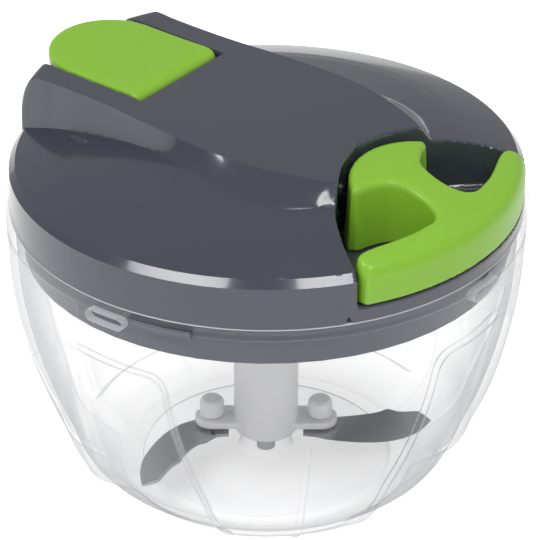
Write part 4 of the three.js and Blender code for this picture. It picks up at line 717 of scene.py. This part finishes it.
def dent_field(x, y, z):
    """The small lens-shaped dent where the crease meets the bridge."""
    px, py, pz = DENT_PLACE
    sx, sy, sz = DENT_SIZE
    dx, dy = x - px, np.abs(y) - py
    c, s = math.cos(rad(DENT_DEG)), math.sin(rad(DENT_DEG))
    along, out = dx * c + dy * s, dy * c - dx * s
    return (np.sqrt((along / sx) ** 2 + (out / sy) ** 2 + ((z - pz) / sz) ** 2) - 1) * sz


def well_field(x, y, z):
    """The button's well, with the room for its spring and the slot for its leg."""
    half = BUTTON_HALF_W + BUTTON_GAP
    well = largest(np.abs(y) - half, x - BUTTON_IN_X - BUTTON_GAP, WELL_FLOOR_Z - z)
    room = largest(np.hypot(x - SPRING_X, y) - SPRING_ROOM_R, WELL_FLOOR_Z - SPRING_ROOM_DEPTH - z)
    c, s = math.cos(rad(LEG_DEG)), math.sin(rad(LEG_DEG))
    out, along = x * c + y * s, y * c - x * s
    slot = largest(
        np.abs(along) - LEG_HALF_W - 2 * BUTTON_GAP,
        np.abs(out - LEG_R + LEG_SWING / 2) - LEG_HALF_T - LEG_SWING / 2 - 2 * BUTTON_GAP,
        LID_Z - z,
    )
    return np.minimum(np.minimum(well, room), slot)


def mark_field(x, y, z):
    """The three-sided notch in the lid's lower edge."""
    c, s = math.cos(rad(MARK_DEG)), math.sin(rad(MARK_DEG))
    out, along = x * c + y * s, y * c - x * s
    return largest(LID_R - LID_WALL - out, np.abs(along) - math.tan(rad(MARK_HALF_DEG)) * (MARK_TOP_Z - z))


def lid_outer(x, y, z):
    """The outside of the lid cover with its pocket and the button's well."""
    r = np.hypot(x, y)
    side = r - (LID_R - LID_DRAFT * (z - LID_Z) / (SHOULDER_Z - LID_Z))
    slope = 2 * DOME_RISE / DOME_EDGE_R * np.clip(r / DOME_EDGE_R, 0, 1)
    dome = (z - dome_z(r)) / np.sqrt(1 + slope**2)
    across = (r - LID_R + LID_DRAFT) * SHOULDER_H + (z - SHOULDER_Z) * SHOULDER_W
    chamfer = across / math.hypot(SHOULDER_H, SHOULDER_W)
    body = largest(side, chamfer, dome)
    cover = np.minimum(body, bridge_field(x, y, z))
    cover = smooth_max(cover, r - LID_R, LID_EDGE_ROUND)
    cover = smooth_max(cover, -dent_field(x, y, z), LID_EDGE_ROUND)
    cover = smooth_max(cover, -well_field(x, y, z), WELL_EDGE_ROUND)
    plan = polygon_distance(x, y, POCKET)
    pocket = smooth_max(plan, POCKET_FLOOR_Z - z, POCKET_ROUND)
    return smooth_max(cover, -pocket, POCKET_ROUND / 2)


def lid_shell(x, y, z):
    """The cover as a shell, open below, with the cord's way out and the mark."""
    outer = lid_outer(x, y, z)
    r = np.hypot(x, y)
    shell = np.maximum(outer, -(outer + LID_WALL))
    under = np.maximum(r - (LID_R - LID_WALL), z - PLATE_TOP_Z)
    cord_way = largest(np.hypot(y, z - CORD_Z) - EYELET_HOLE_R, -x, x - KNOT_X)
    return largest(shell, LID_Z - z, -under, -cord_way, -mark_field(x, y, z))


# Grid steps, finer in height round the shoulder and the bridge's top
LID_STEP = 0.55
SIDE_STEP = 0.6
SHOULDER_STEP = 0.3
TOP_STEP = 0.4
FINE_BELOW_SHOULDER = 1.1
FINE_OVER_DOME_EDGE = 1.3
FINE_BELOW_BRIDGE_TOP = 1.6
LID_LEVELS = stepped(
    (LID_Z - TOP_STEP, SIDE_STEP),
    (SHOULDER_Z - FINE_BELOW_SHOULDER, SHOULDER_STEP),
    (DOME_EDGE_Z + FINE_OVER_DOME_EDGE, LID_STEP),
    (BRIDGE_TOP_Z - FINE_BELOW_BRIDGE_TOP, TOP_STEP),
    (LID_TOP_Z, TOP_STEP),
)
lid_span = LID_R + LID_STEP
lid_top = solid_mesh(
    "lid_cover",
    lid_shell,
    (-lid_span, -lid_span, LID_Z),
    (lid_span, lid_span, LID_TOP_Z),
    LID_STEP,
    LID_LEVELS,
)
dress(lid_top, dark, "lid_plastic", "lid", "lid_top")

# Handle

HANDLE_STEP = 0.45
# Its top from the core out to the bar: shares of its radius, and of its height above its underside
HANDLE_TOP_SHARES = [
    (0.4, 1),
    (0.57, 0.955),
    (0.665, 0.895),
    (0.745, 0.8),
    (0.82, 0.71),
    (0.886, 0.645),
    (0.95, 0.6),
    (1.05, 0.55),
]
# The inner edge of half the handle, from the core round the notch to the tip of the bar
NOTCH_SHARES = [
    (0.559, 0.237),
    (0.579, 0.225),
    (0.595, 0.174),
    (0.633, 0.108),
    (0.68, 0.079),
    (0.736, 0.071),
    (0.791, 0.076),
    (0.839, 0.1),
    (0.861, 0.139),
    (0.859, 0.19),
    (0.845, 0.269),
    (0.82, 0.348),
    (0.791, 0.424),
    (0.774, 0.478),
    (0.777, 0.509),
    (0.801, 0.528),
    (0.828, 0.532),
]


def handle_outline():
    """The handle in plan: a round core, the two notches, and the bar along the lid's edge."""

    def arc(radius, centre_x, from_deg, to_deg, count):
        turns = np.radians(np.linspace(from_deg, to_deg, count))
        return [(centre_x + radius * math.cos(t), radius * math.sin(t)) for t in turns]

    core = arc(HANDLE_CORE_R, HANDLE_CORE_X, 180, HANDLE_CORE_END_DEG, 9)
    outer = arc(HANDLE_R + OVERRUN, 0, HANDLE_HALF_DEG, 0, 12)
    return mirrored(core + spline(scaled(NOTCH_SHARES, HANDLE_R), 3) + outer, ends=1)


HANDLE = handle_outline()
HANDLE_TOP = profile_line(HANDLE_TOP_SHARES, HANDLE_R, HANDLE_BACK_Z - HANDLE_BOTTOM_Z, steps=8)


def handle_field(x, y, z):
    """The handle, with a room below for the knot and a way in for the cord."""
    r = np.hypot(x, y)
    plan = polygon_distance(x, y, HANDLE)
    plan = plan + HANDLE_DRAFT * (z - HANDLE_BACK_Z)
    top = z - HANDLE_BOTTOM_Z - np.interp(r, *HANDLE_TOP)
    roof = smooth_max(top, r - HANDLE_R, HANDLE_FACE_ROUND)
    body = smooth_max(roof, plan, HANDLE_ROUND)
    body = smooth_max(body, HANDLE_BOTTOM_Z - z, HANDLE_FOOT_ROUND)
    room = np.maximum(np.hypot(x - KNOT_X, y) - KNOT_ROOM_R, z - CORD_Z - KNOT_ROOM_H)
    cord_way = np.maximum(np.hypot(y, z - CORD_Z) - 2 * CORD_R, x - KNOT_X)
    return largest(body, -room, -cord_way)


HALF_SPAN_SHARE = 0.57
handle = solid_mesh(
    "handle_grip",
    handle_field,
    (HANDLE_CORE_X - HANDLE_CORE_R, -HALF_SPAN_SHARE * HANDLE_R, HANDLE_BOTTOM_Z),
    (HANDLE_R, HALF_SPAN_SHARE * HANDLE_R, HANDLE_BACK_Z),
    HANDLE_STEP,
)
dress(handle, green, "green_plastic", "handle", "pull_handle")

# Cord


def wind_path():
    """The turns on the reel, from the innermost out to where the cord leaves."""
    count = round(WIND_TURNS * WIND_STEPS)
    path = []
    for i in range(count + 1):
        turns = WIND_TURNS * i / count
        radius = WIND_IN_R + WIND_PITCH * turns
        t = rad(WIND_LEAVE_DEG + 360 * (WIND_TURNS - turns))
        path.append((radius * math.cos(t), radius * math.sin(t), CORD_Z))
    return path


KNOT_SIZE_SHARE = 0.62


def knot_path():
    """A closed overhand knot, drawn up small."""
    size = (KNOT_ROOM_R - CORD_R) / 3 * KNOT_SIZE_SHARE
    path = []
    for t in np.linspace(0, 2 * math.pi, KNOT_STEPS, endpoint=False):
        x = math.sin(t) + 2 * math.sin(2 * t)
        y = math.cos(t) - 2 * math.cos(2 * t)
        path.append((KNOT_X + size * x, size * y, CORD_Z - 2 * size * math.sin(3 * t)))
    return path


winding = cord_mesh("cord_turns", wind_path())
dress(winding, fibre, "cord", "reel", "cord_winding")
knot = cord_mesh("cord_end_knot", knot_path(), closed=True)
dress(knot, fibre, "cord", "handle", "cord_knot")

# The cord's way from the reel to the knot in plan, as shares of the knot's distance
LEAD_SHARES = [(0.572, 0.138), (0.6, 0.065), (0.628, 0.014), (0.66, 0.001), (0.7, 0), (0.8, 0), (0.945, 0)]
lead_path = [(x, y, CORD_Z) for x, y in spline(scaled(LEAD_SHARES, KNOT_X), 9)]
lead = cord_mesh("cord_run", lead_path)
dress(lead, fibre, "cord", None, "cord_lead")
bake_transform(lead)

# Button

BUTTON_STEP = 0.4
BUTTON_LOW_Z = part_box("release_button")[0][2] / MM


def button_field(x, y, z):
    """The rocker's plate, its barrel on the pin with a web up to the plate, and the leg to the catch."""
    share = (BUTTON_IN_X - x) / (BUTTON_IN_X - BUTTON_OUT_X)
    surface = BUTTON_IN_Z + BUTTON_RISE * share**2
    ex = np.maximum(BUTTON_OUT_X + BUTTON_END_LEN - x, 0) / BUTTON_END_LEN
    plan = (np.hypot(ex, y / BUTTON_HALF_W) - 1) * BUTTON_END_LEN
    front = x - BUTTON_IN_X
    rolled = smooth_max(z - surface, front, BUTTON_ROLL)
    plate = smooth_max(rolled, smooth_max(plan, front, BUTTON_CORNER), BUTTON_ROUND)
    plate = smooth_max(plate, surface - BUTTON_T - z, BUTTON_ROUND / 2)
    ends = np.abs(y) - (BUTTON_HALF_W - BUTTON_ROUND)
    from_pin = np.hypot(x - PIN_X, z - PIN_Z)
    barrel = np.maximum(from_pin - BARREL_R, ends)
    web = largest(np.abs(x - PIN_X) - BARREL_R, ends, PIN_Z - z, z - surface + BUTTON_T / 2)
    c, s = math.cos(rad(LEG_DEG)), math.sin(rad(LEG_DEG))
    out, along = x * c + y * s, y * c - x * s
    leg = largest(
        np.abs(along) - LEG_HALF_W,
        np.abs(out - LEG_R) - LEG_HALF_T,
        BUTTON_LOW_Z - z,
        z - surface + BUTTON_T / 2,
    )
    body = smooth_min(plate, np.minimum(barrel, web), BUTTON_FILLET)
    body = smooth_min(body, leg, BUTTON_FILLET)
    return np.maximum(body, BARREL_BORE_R - from_pin)


button = solid_mesh(
    "button_cap",
    button_field,
    (-LID_R, -BUTTON_HALF_W, BUTTON_LOW_Z),
    (BUTTON_IN_X, BUTTON_HALF_W, BUTTON_IN_Z + BUTTON_RISE),
    BUTTON_STEP,
)
dress(button, green, "green_plastic", "button", "release_button")

# Bowl

# The outer wall from the foot up, as shares of the wall's radius and the height where the band starts
WALL_SHARES = [
    (0.584, 0.0),
    (0.619, 0.024),
    (0.666, 0.053),
    (0.725, 0.092),
    (0.769, 0.133),
    (0.805, 0.196),
    (0.834, 0.279),
    (0.88, 0.388),
    (0.92, 0.501),
    (0.956, 0.63),
    (0.984, 0.77),
    (0.997, 0.889),
    (0.998, 0.993),
]
# The floor's inside from the wall to the boss
FLOOR_SHARES = [
    (0.686, 0.089),
    (0.634, 0.059),
    (0.578, 0.043),
    (0.516, 0.0385),
    (0.31, 0.0385),
    (0.14, 0.0385),
]
INSIDE_START_SHARE = 0.13
BOSS_SHARES = [(1.1, 0.39), (1.03, 0.47), (1, 0.58), (1, 0.92), (0.95, 0.99), (0.86, 1), (0.4, 1)]


def off_flute(deg):
    """How many degrees a bearing is from the middle of the nearest flute."""
    half = 180 / FLUTE_COUNT
    return np.abs((deg + half) % (2 * half) - half)


def flute_edge(off_deg, radius, z):
    """Distance from a flute's edge, negative inside: it flares to the foot and has round top corners."""
    flare = (1 - np.clip(z / FLUTE_TOP_Z, 0, 1)) ** FLUTE_FLARE_POWER
    half = FLUTE_TOP_DEG + (FLUTE_FOOT_DEG - FLUTE_TOP_DEG) * flare
    side = (off_deg - half) * radius * rad(1) + FLUTE_CORNER_R
    top = z - FLUTE_TOP_Z + FLUTE_CORNER_R
    within = np.minimum(np.maximum(side, top), 0)
    return np.hypot(np.maximum(side, 0), np.maximum(top, 0)) + within - FLUTE_CORNER_R


def bowl_relief(deg, radius, z, outer):
    """How far the wall stands out from its plain profile at a bearing and a height."""
    off = off_flute(deg)
    edge = flute_edge(off, radius, z)
    start = np.clip(z / FLOOR_Z, 0, 1)
    relief = -FLUTE_DEPTH * start * ease(-edge / FLUTE_SLOPE_W)
    if outer:
        ridge = FLUTE_RIDGE_H * start * np.exp(-(((edge - FLUTE_RIDGE_W) / FLUTE_RIDGE_W) ** 2))
        from_rib = (180 / FLUTE_COUNT - off) * radius * rad(1)
        rib = RIB_H * np.clip((RIB_HALF_W + RIB_SIDE_OUT - from_rib) / RIB_SIDE_W, 0, 1)
        rib = rib * ease((RIB_TOP_Z - z) / RIB_TOP_FADE) * ease((z - RIB_LOW_Z) / RIB_LOW_FADE)
        panel = PANEL_H * np.clip((PANEL_HALF_DEG - off) * radius * rad(1) / PANEL_SIDE_W, 0, 1)
        panel = panel * ease((z - PANEL_LOW_Z) / PANEL_FADE)
        relief = relief + ridge + rib + panel
    return relief


def bowl_rings():
    """Rings of the bowl's skin, from under the boss out, up the wall, over the rim and down inside."""
    deg = np.arange(BOWL_STEPS) * 360 / BOWL_STEPS
    turn = np.radians(deg)
    lug = LUG_REACH * (off_flute(deg) * rad(1) * BAND_IN_R < LUG_HALF_W)

    def level(radius, z, relief=0):
        r = radius + relief
        return np.stack([r * np.cos(turn), r * np.sin(turn), np.full(BOWL_STEPS, z)], 1)

    def shaped(radius, z, outer=True):
        return level(radius, z, bowl_relief(deg, radius, z, outer))

    line = spline(scaled(WALL_SHARES, WALL_R, BAND_Z), 9)
    bead_z = RIM_Z - RIM_BEAD_H
    foot_in = FOOT_R - FOOT_RING_W
    rings = [
        level(BOSS_R, FOOT_RECESS),
        level(foot_in - FOOT_RECESS, FOOT_RECESS),
        level(foot_in - FOOT_RECESS / 2, FOOT_RECESS * 0.75),
        level(foot_in - FOOT_RECESS / 5, FOOT_RECESS / 5),
        level(foot_in + FOOT_RECESS / 3, 0),
        level(FOOT_R - FOOT_RECESS / 2, 0),
    ]
    rings += [shaped(r, max(z, FOOT_LIFT)) for r, z in line]
    rings += [
        shaped(r, z)
        for r, z in (
            (BAND_R - BAND_BLEND_W, BAND_Z - BAND_BLEND_H / 5),
            (BAND_R - BAND_BLEND_W / 3, BAND_Z + BAND_BLEND_H * 0.4),
            (BAND_R, BAND_Z + BAND_BLEND_H),
            (BAND_R, bead_z - 2 * RIM_ROUND),
        )
    ]
    rings += [
        level(r, z)
        for r, z in (
            (BAND_R + 2 * RIM_ROUND / 3, bead_z),
            (RIM_R - RIM_ROUND, bead_z + RIM_ROUND / 3),
            (RIM_R, bead_z + RIM_ROUND),
            (RIM_R, RIM_Z - RIM_ROUND),
            (RIM_R - RIM_ROUND / 3, RIM_Z - RIM_ROUND / 3),
            (RIM_R - RIM_ROUND, RIM_Z),
            (BAND_IN_R + RIM_ROUND, RIM_Z),
            (BAND_IN_R + RIM_ROUND / 3, RIM_Z - RIM_ROUND / 3),
            (BAND_IN_R, RIM_Z - RIM_ROUND),
        )
    ]
    lug_low = WINDOW_Z + WINDOW_HALF_H
    lug_high = lug_low + LUG_H
    rings += [level(BAND_IN_R, lug_high), level(BAND_IN_R, lug_high - LUG_DRAFT, -lug)]
    rings += [level(BAND_IN_R, lug_low + LUG_DRAFT, -lug), level(BAND_IN_R, lug_low)]
    rings += [level(BAND_IN_R, BAND_Z)]
    inner = [(r - BOWL_WALL, z) for r, z in line if z > INSIDE_START_SHARE * BAND_Z]
    rings += [shaped(r, z, outer=False) for r, z in reversed(inner)]
    floor = spline([inner[0]] + scaled(FLOOR_SHARES, WALL_R, BAND_Z), 5)[1:]
    rings += [level(r, z) for r, z in floor]
    rings += [level(r, z) for r, z in scaled(BOSS_SHARES, BOSS_R, BOSS_Z)]
    return rings


def window_cutters():
    """The four round-ended openings in the band, as one object."""
    points, faces = [], []
    end = WINDOW_HALF_W - WINDOW_HALF_H
    for k in range(FLUTE_COUNT):
        spin = rad(360 / FLUTE_COUNT * k)
        c, s = math.cos(spin), math.sin(spin)
        first = len(points)
        for r in (BAND_IN_R - OVERRUN / 2, RIM_R + OVERRUN):
            for t in np.linspace(0, 2 * math.pi, WINDOW_STEPS, endpoint=False):
                y = math.copysign(end, math.cos(t)) + WINDOW_HALF_H * math.cos(t)
                z = WINDOW_Z + WINDOW_HALF_H * math.sin(t)
                points.append((r * c - y * s, r * s + y * c, z))
        n = WINDOW_STEPS
        for j in range(n):
            i = (j + 1) % n
            faces.append((first + j, first + i, first + n + i, first + n + j))
        faces.append(tuple(first + j for j in reversed(range(n))))
        faces.append(tuple(first + n + j for j in range(n)))
    return mesh_object("window_cutters", points, faces, turn_out=True)


bowl = ring_mesh("bowl_shell", bowl_rings())
dress(bowl, clear, "clear_plastic", "bowl", "bowl")
cutters = window_cutters()
# The cut faces take this whiter clear look, a painted highlight on the windows' edges
cutters.data.materials.append(cut_edge_painted_highlight)
cut = bowl.modifiers.new("windows", "BOOLEAN")
cut.operation = "DIFFERENCE"
cut.solver = "EXACT"
cut.object = cutters
cut.material_mode = "TRANSFER"
bpy.context.view_layer.objects.active = bowl
bpy.ops.object.modifier_apply(modifier=cut.name)
bpy.data.objects.remove(cutters)
bowl.data.shade_smooth()
bowl.data.set_sharp_from_angle(angle=rad(SHARP_DEG))

# Rotor

COLUMN_STEP = 0.5


def column_field(x, y, z):
    """The column and its bore, the spigot and claws at its head, and the tabs that hold the blades."""
    c, s = math.cos(rad(ROTOR_DEG)), math.sin(rad(ROTOR_DEG))
    u, v = np.abs(x * c + y * s), y * c - x * s
    r = np.hypot(u, v)
    shaft = smooth_max(r - COLUMN_R, largest(COLUMN_LOW_Z - z, z - COLUMN_TOP_Z), COLUMN_ROUND)
    spigot = smooth_max(r - SPIGOT_R, z - SPIGOT_TOP_Z, SPIGOT_ROUND)
    body = smooth_min(shaft, np.maximum(spigot, COLUMN_TOP_Z - OVERRUN - z), SPIGOT_FILLET)
    sector = np.abs(v) * math.cos(rad(CLAW_HALF_DEG)) - u * math.sin(rad(CLAW_HALF_DEG))
    claw = largest(r - CLAW_R, sector, CLAW_LOW_Z - z, z - CLAW_TOP_Z)
    body = smooth_min(body, claw, CLAW_FILLET)
    tab = np.hypot(np.maximum(u - TAB_R, 0), v) - TAB_END_R
    tab = smooth_max(tab, np.abs(z - TAB_Z) - TAB_HALF_T, TAB_ROUND)
    body = smooth_min(body, tab, TAB_FILLET)
    bore = np.maximum(r - COLUMN_BORE_R, z - COLUMN_BORE_TOP_Z)
    return smooth_max(body, -bore, COLUMN_BORE_ROUND)


column_span = (TAB_R + TAB_END_R) * math.cos(rad(ROTOR_DEG)) + COLUMN_STEP
column = solid_mesh(
    "column",
    column_field,
    (-column_span, -column_span, COLUMN_LOW_Z),
    (column_span, column_span, SPIGOT_TOP_Z),
    COLUMN_STEP,
)
dress(column, milky, "frosted_plastic", "rotor", "blade_column")

# A stud's profile: its shank, then its domed head
HEAD_SHARES = [(0.92, 0), (1, 0.06), (1, 0.67), (0.94, 0.82), (0.76, 0.94), (0.44, 0.99), (0.005, 1)]
head = [(STUD_R * r, STUD_LOW_Z + (STUD_TOP_Z - STUD_LOW_Z) * z) for r, z in HEAD_SHARES]
stud_profile = [(STUD_SHANK_R, COLUMN_LOW_Z), (STUD_SHANK_R, STUD_LOW_Z)] + head
for n in range(2):
    bearing = rad(ROTOR_DEG + 180 * n)
    at = (TAB_R * math.cos(bearing), TAB_R * math.sin(bearing))
    stud = lathe(f"stud_{n + 1}", stud_profile, steps=48, caps=True, centre=at)
    dress(stud, milky, "frosted_plastic", "rotor", f"blade_stud_{n + 1}")

# Middle lines of the blades from the stud out, as shares of the way to their reach
BLADE_ROUTE_SHARES = [
    [(0, -0.06), (0.11, -0.08), (0.41, -0.1), (0.63, -0.08), (0.8, 0.01), (0.92, 0.17)],
    [(0, 0.05), (0.06, 0.07), (0.28, 0.26), (0.43, 0.56), (0.47, 0.8), (0.44, 1.02)],
]
TWIST_START_SHARE = 0.28
TIP_START_SHARE = 0.78
ROOT_WIDTH_SHARE = 0.72
BEVEL_SHARE = 0.7
TIP_CUT_SHARE = 1.2
BLADE_STATIONS = 48


def blade_rings(shares):
    """A thin blade: flat at the root, then leaning with its cutting edge low, and drawn to a point."""
    span = BLADE_REACH - TAB_R
    outer = [(TAB_R + span * x, span * y) for x, y in shares]
    line = np.array(spline([(TAB_R - BLADE_HEEL, outer[0][1])] + outer, 12))
    length = np.concatenate([[0], np.cumsum(np.linalg.norm(np.diff(line, axis=0), axis=1))])
    places = np.linspace(0, length[-1], BLADE_STATIONS)
    line = np.stack([np.interp(places, length, line[:, i]) for i in (0, 1)], 1)
    ahead = np.gradient(line, axis=0)
    ahead /= np.linalg.norm(ahead, axis=1)[:, None]
    rings = []
    for (px, py), (ax, ay), share in zip(line, ahead, places / length[-1]):
        twist = min(1, max(0, (share - TWIST_START_SHARE) / (1 - TWIST_START_SHARE)))
        lean = rad(BLADE_LEAN_DEG) * twist * (2 - twist)
        middle = np.array((px, py, BLADE_Z + BLADE_RISE * twist))
        wide = np.array((-ay * math.cos(lean), ax * math.cos(lean), math.sin(lean)))
        thick = np.cross((ax, ay, 0), wide)
        tip = max(0, (share - TIP_START_SHARE) / (1 - TIP_START_SHARE))
        half = BLADE_HALF_W * min(1, ROOT_WIDTH_SHARE + share)
        back = half * (1 - TIP_CUT_SHARE * tip)
        rings.append(
            [
                middle + w * wide + t * thick
                for w, t in (
                    (-half, -BLADE_EDGE_HALF_T),
                    (-half * BEVEL_SHARE, -BLADE_HALF_T),
                    (back, -BLADE_HALF_T),
                    (back, BLADE_HALF_T),
                    (-half * BEVEL_SHARE, BLADE_HALF_T),
                    (-half, BLADE_EDGE_HALF_T),
                )
            ]
        )
    return rings


for n, shares in enumerate(BLADE_ROUTE_SHARES):
    blade = ring_mesh(f"blade_strip_{n + 1}", blade_rings(shares))
    blade.data.transform(Matrix.Rotation(rad(ROTOR_DEG + 180 * n), 4, "Z"))
    dress(blade, blade_steel, "blade_steel", "rotor", f"blade_{n + 1}")

# Seal: a flat ring on the rim with a lip inside
(_, _, seal_low), (seal_r, _, seal_high) = [[v / MM for v in corner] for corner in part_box("seal_ring")]
SEAL_STEP_SHARE = 0.5
seal_step = seal_low + (seal_high - seal_low) * SEAL_STEP_SHARE
seal = lathe(
    "seal_band",
    [
        (SEAL_IN_R, seal_low),
        (seal_r - RIM_ROUND / 3, seal_low),
        (seal_r, seal_low + RIM_ROUND / 3),
        (seal_r, seal_step - RIM_ROUND / 3),
        (seal_r - RIM_ROUND / 3, seal_step),
        (SEAL_IN_R + RIM_ROUND / 3, seal_step),
        (SEAL_IN_R, seal_high),
    ],
)
dress(seal, rubber, "silicone", "seal", "seal_ring")

# Floor, light and camera

FLOOR_SIZE = 6.0
LAMP_DISTANCE = 0.9
LAMP_AIM = (0, 0, 0.06)
WORLD_STRENGTH = 0.74
GLOSS_BEHIND = 0.3
GLOSS_FRONT = 0.24
FLOOR_WHITE = 0.9
FLOOR_GLOW = {"Is Camera Ray": 0.6, "Is Transmission Ray": 0.3, "Is Glossy Ray": 0.1}
# Bearing from the camera's, elevation, size in metres and power
SOFTBOXES = {
    "left_box": (-45, 48, (0.54, 0.19), 2.5),
    "right_box": (31, 50, (0.32, 0.19), 1.5),
    "top_box": (120, 82, (0.3, 0.1), 0.3),
}


def by_ray(tree, strengths):
    """A value that depends on the kind of ray: the largest of the strengths whose kind it is."""
    nodes, links = tree.nodes, tree.links
    path = nodes.new("ShaderNodeLightPath")
    value = None
    for kind, strength in strengths.items():
        part = nodes.new("ShaderNodeMath")
        part.operation = "MULTIPLY"
        part.inputs[1].default_value = strength
        links.new(path.outputs[kind], part.inputs[0])
        if value is None:
            value = part.outputs[0]
            continue
        larger = nodes.new("ShaderNodeMath")
        larger.operation = "MAXIMUM"
        links.new(value, larger.inputs[0])
        links.new(part.outputs[0], larger.inputs[1])
        value = larger.outputs[0]
    return value


def floor_material():
    """Matt white, with a glow, strongest for the camera, that keeps it white round the object."""
    mat = bpy.data.materials.new("floor_white")
    mat.use_nodes = True
    shader = mat.node_tree.nodes["Principled BSDF"]
    shader.inputs["Base Color"].default_value = (FLOOR_WHITE, FLOOR_WHITE, FLOOR_WHITE, 1)
    shader.inputs["Roughness"].default_value = 0.8
    shader.inputs["Specular IOR Level"].default_value = 0
    shader.inputs["Emission Color"].default_value = (1, 1, 1, 1)
    glow = by_ray(mat.node_tree, FLOOR_GLOW)
    mat.node_tree.links.new(glow, shader.inputs["Emission Strength"])
    return mat


def make_floor():
    half = FLOOR_SIZE / 2
    mesh = bpy.data.meshes.new("floor")
    corners = [(-half, -half, 0), (half, -half, 0), (half, half, 0), (-half, half, 0)]
    mesh.from_pydata(corners, [], [(0, 1, 2, 3)])
    floor = bpy.data.objects.new("floor", mesh)
    bpy.context.scene.collection.objects.link(floor)
    mesh.materials.append(floor_material())


def make_world():
    """White where the camera sees it. Gloss sees a dimmer room, dimmest on the camera's side."""
    world = bpy.data.worlds.new("studio")
    bpy.context.scene.world = world
    world.use_nodes = True
    tree = world.node_tree
    nodes, links = tree.nodes, tree.links
    light = nodes["Background"]
    light.inputs["Color"].default_value = (1, 1, 1, 1)
    place = nodes.new("ShaderNodeTexCoord")
    towards = nodes.new("ShaderNodeVectorMath")
    towards.operation = "DOT_PRODUCT"
    towards.inputs[1].default_value = direction(CAMERA_BEARING, 0)
    links.new(place.outputs["Generated"], towards.inputs[0])
    gloss = nodes.new("ShaderNodeMapRange")
    gloss.inputs["From Min"].default_value = -1
    gloss.inputs["To Min"].default_value = GLOSS_BEHIND
    gloss.inputs["To Max"].default_value = GLOSS_FRONT
    links.new(towards.outputs["Value"], gloss.inputs["Value"])
    path = nodes.new("ShaderNodeLightPath")
    mix = nodes.new("ShaderNodeMix")
    mix.inputs["A"].default_value = WORLD_STRENGTH
    links.new(path.outputs["Is Glossy Ray"], mix.inputs["Factor"])
    links.new(gloss.outputs["Result"], mix.inputs["B"])
    seen = nodes.new("ShaderNodeMath")
    seen.operation = "MAXIMUM"
    links.new(mix.outputs["Result"], seen.inputs[0])
    links.new(by_ray(tree, {"Is Camera Ray": 1, "Is Transmission Ray": 1}), seen.inputs[1])
    links.new(seen.outputs[0], light.inputs["Strength"])


def softbox(name, bearing, elevation, size, power):
    data = bpy.data.lights.new(name, "AREA")
    data.shape = "RECTANGLE"
    data.size, data.size_y = size
    data.energy = power
    lamp = bpy.data.objects.new(name, data)
    lamp.location = Vector(LAMP_AIM) + direction(bearing, elevation) * LAMP_DISTANCE
    lamp.rotation_euler = (Vector(LAMP_AIM) - lamp.location).to_track_quat("-Z", "Y").to_euler()
    bpy.context.scene.collection.objects.link(lamp)


def direction(bearing, elevation):
    level = math.cos(rad(elevation))
    return Vector((math.cos(rad(bearing)) * level, math.sin(rad(bearing)) * level, math.sin(rad(elevation))))


def make_camera():
    data = bpy.data.cameras.new("camera")
    data.sensor_width = SENSOR_WIDTH
    data.lens = CAMERA_LENS
    camera = bpy.data.objects.new("camera", data)
    toward = direction(CAMERA_BEARING, CAMERA_ELEVATION)
    camera.location = (Vector(CAMERA_TARGET) + toward * CAMERA_DISTANCE) * MM
    turn = (-toward).to_track_quat("-Z", "Y").to_matrix()
    camera.rotation_euler = (turn @ Matrix.Rotation(rad(CAMERA_ROLL), 3, "Z")).to_euler()
    bpy.context.scene.collection.objects.link(camera)
    bpy.context.scene.camera = camera


make_floor()
make_world()
for name, (turn, elevation, size, power) in SOFTBOXES.items():
    softbox(name, CAMERA_BEARING + turn, elevation, size, power)
make_camera()
bpy.context.scene.view_settings.view_transform = "Standard"

# CAD nodes that show as they are
NODE_LOOKS = {
    "pivot_pin": bright_steel,
    "shaft_seal": rubber,
    "drive_bushing": milky,
    "drive_hub": milky,
    "drive_pawl_1": black,
    "drive_pawl_2": black,
    "cord_reel": milky,
    "reel_axle": steel,
    "spring_housing": black,
    "recoil_spring": spring_steel,
    "spring_cover": black,
    "cord_eyelet": steel,
    "handle_plug": green,
    "button_pin": steel,
    "button_spring": spring_steel,
    "lock_catch": black,
    "lid_base": base_grey,
}
WELD = 0.00001  # metres within which a CAD node's corners are joined


def finish_node(obj, look):
    """Gives a CAD node its look, with round faces shaded smooth and edges kept."""
    for slot in obj.material_slots:
        slot.material = look
    obj.data.polygons.foreach_set("use_smooth", [True] * len(obj.data.polygons))
    weld = obj.modifiers.new("weld", "WELD")
    weld.merge_threshold = WELD
    edges = obj.modifiers.new("edges", "EDGE_SPLIT")
    edges.split_angle = rad(SHARP_DEG)


for node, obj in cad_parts.items():
    look = steel if "screw" in node else NODE_LOOKS.get(node)
    if look:
        finish_node(obj, look)
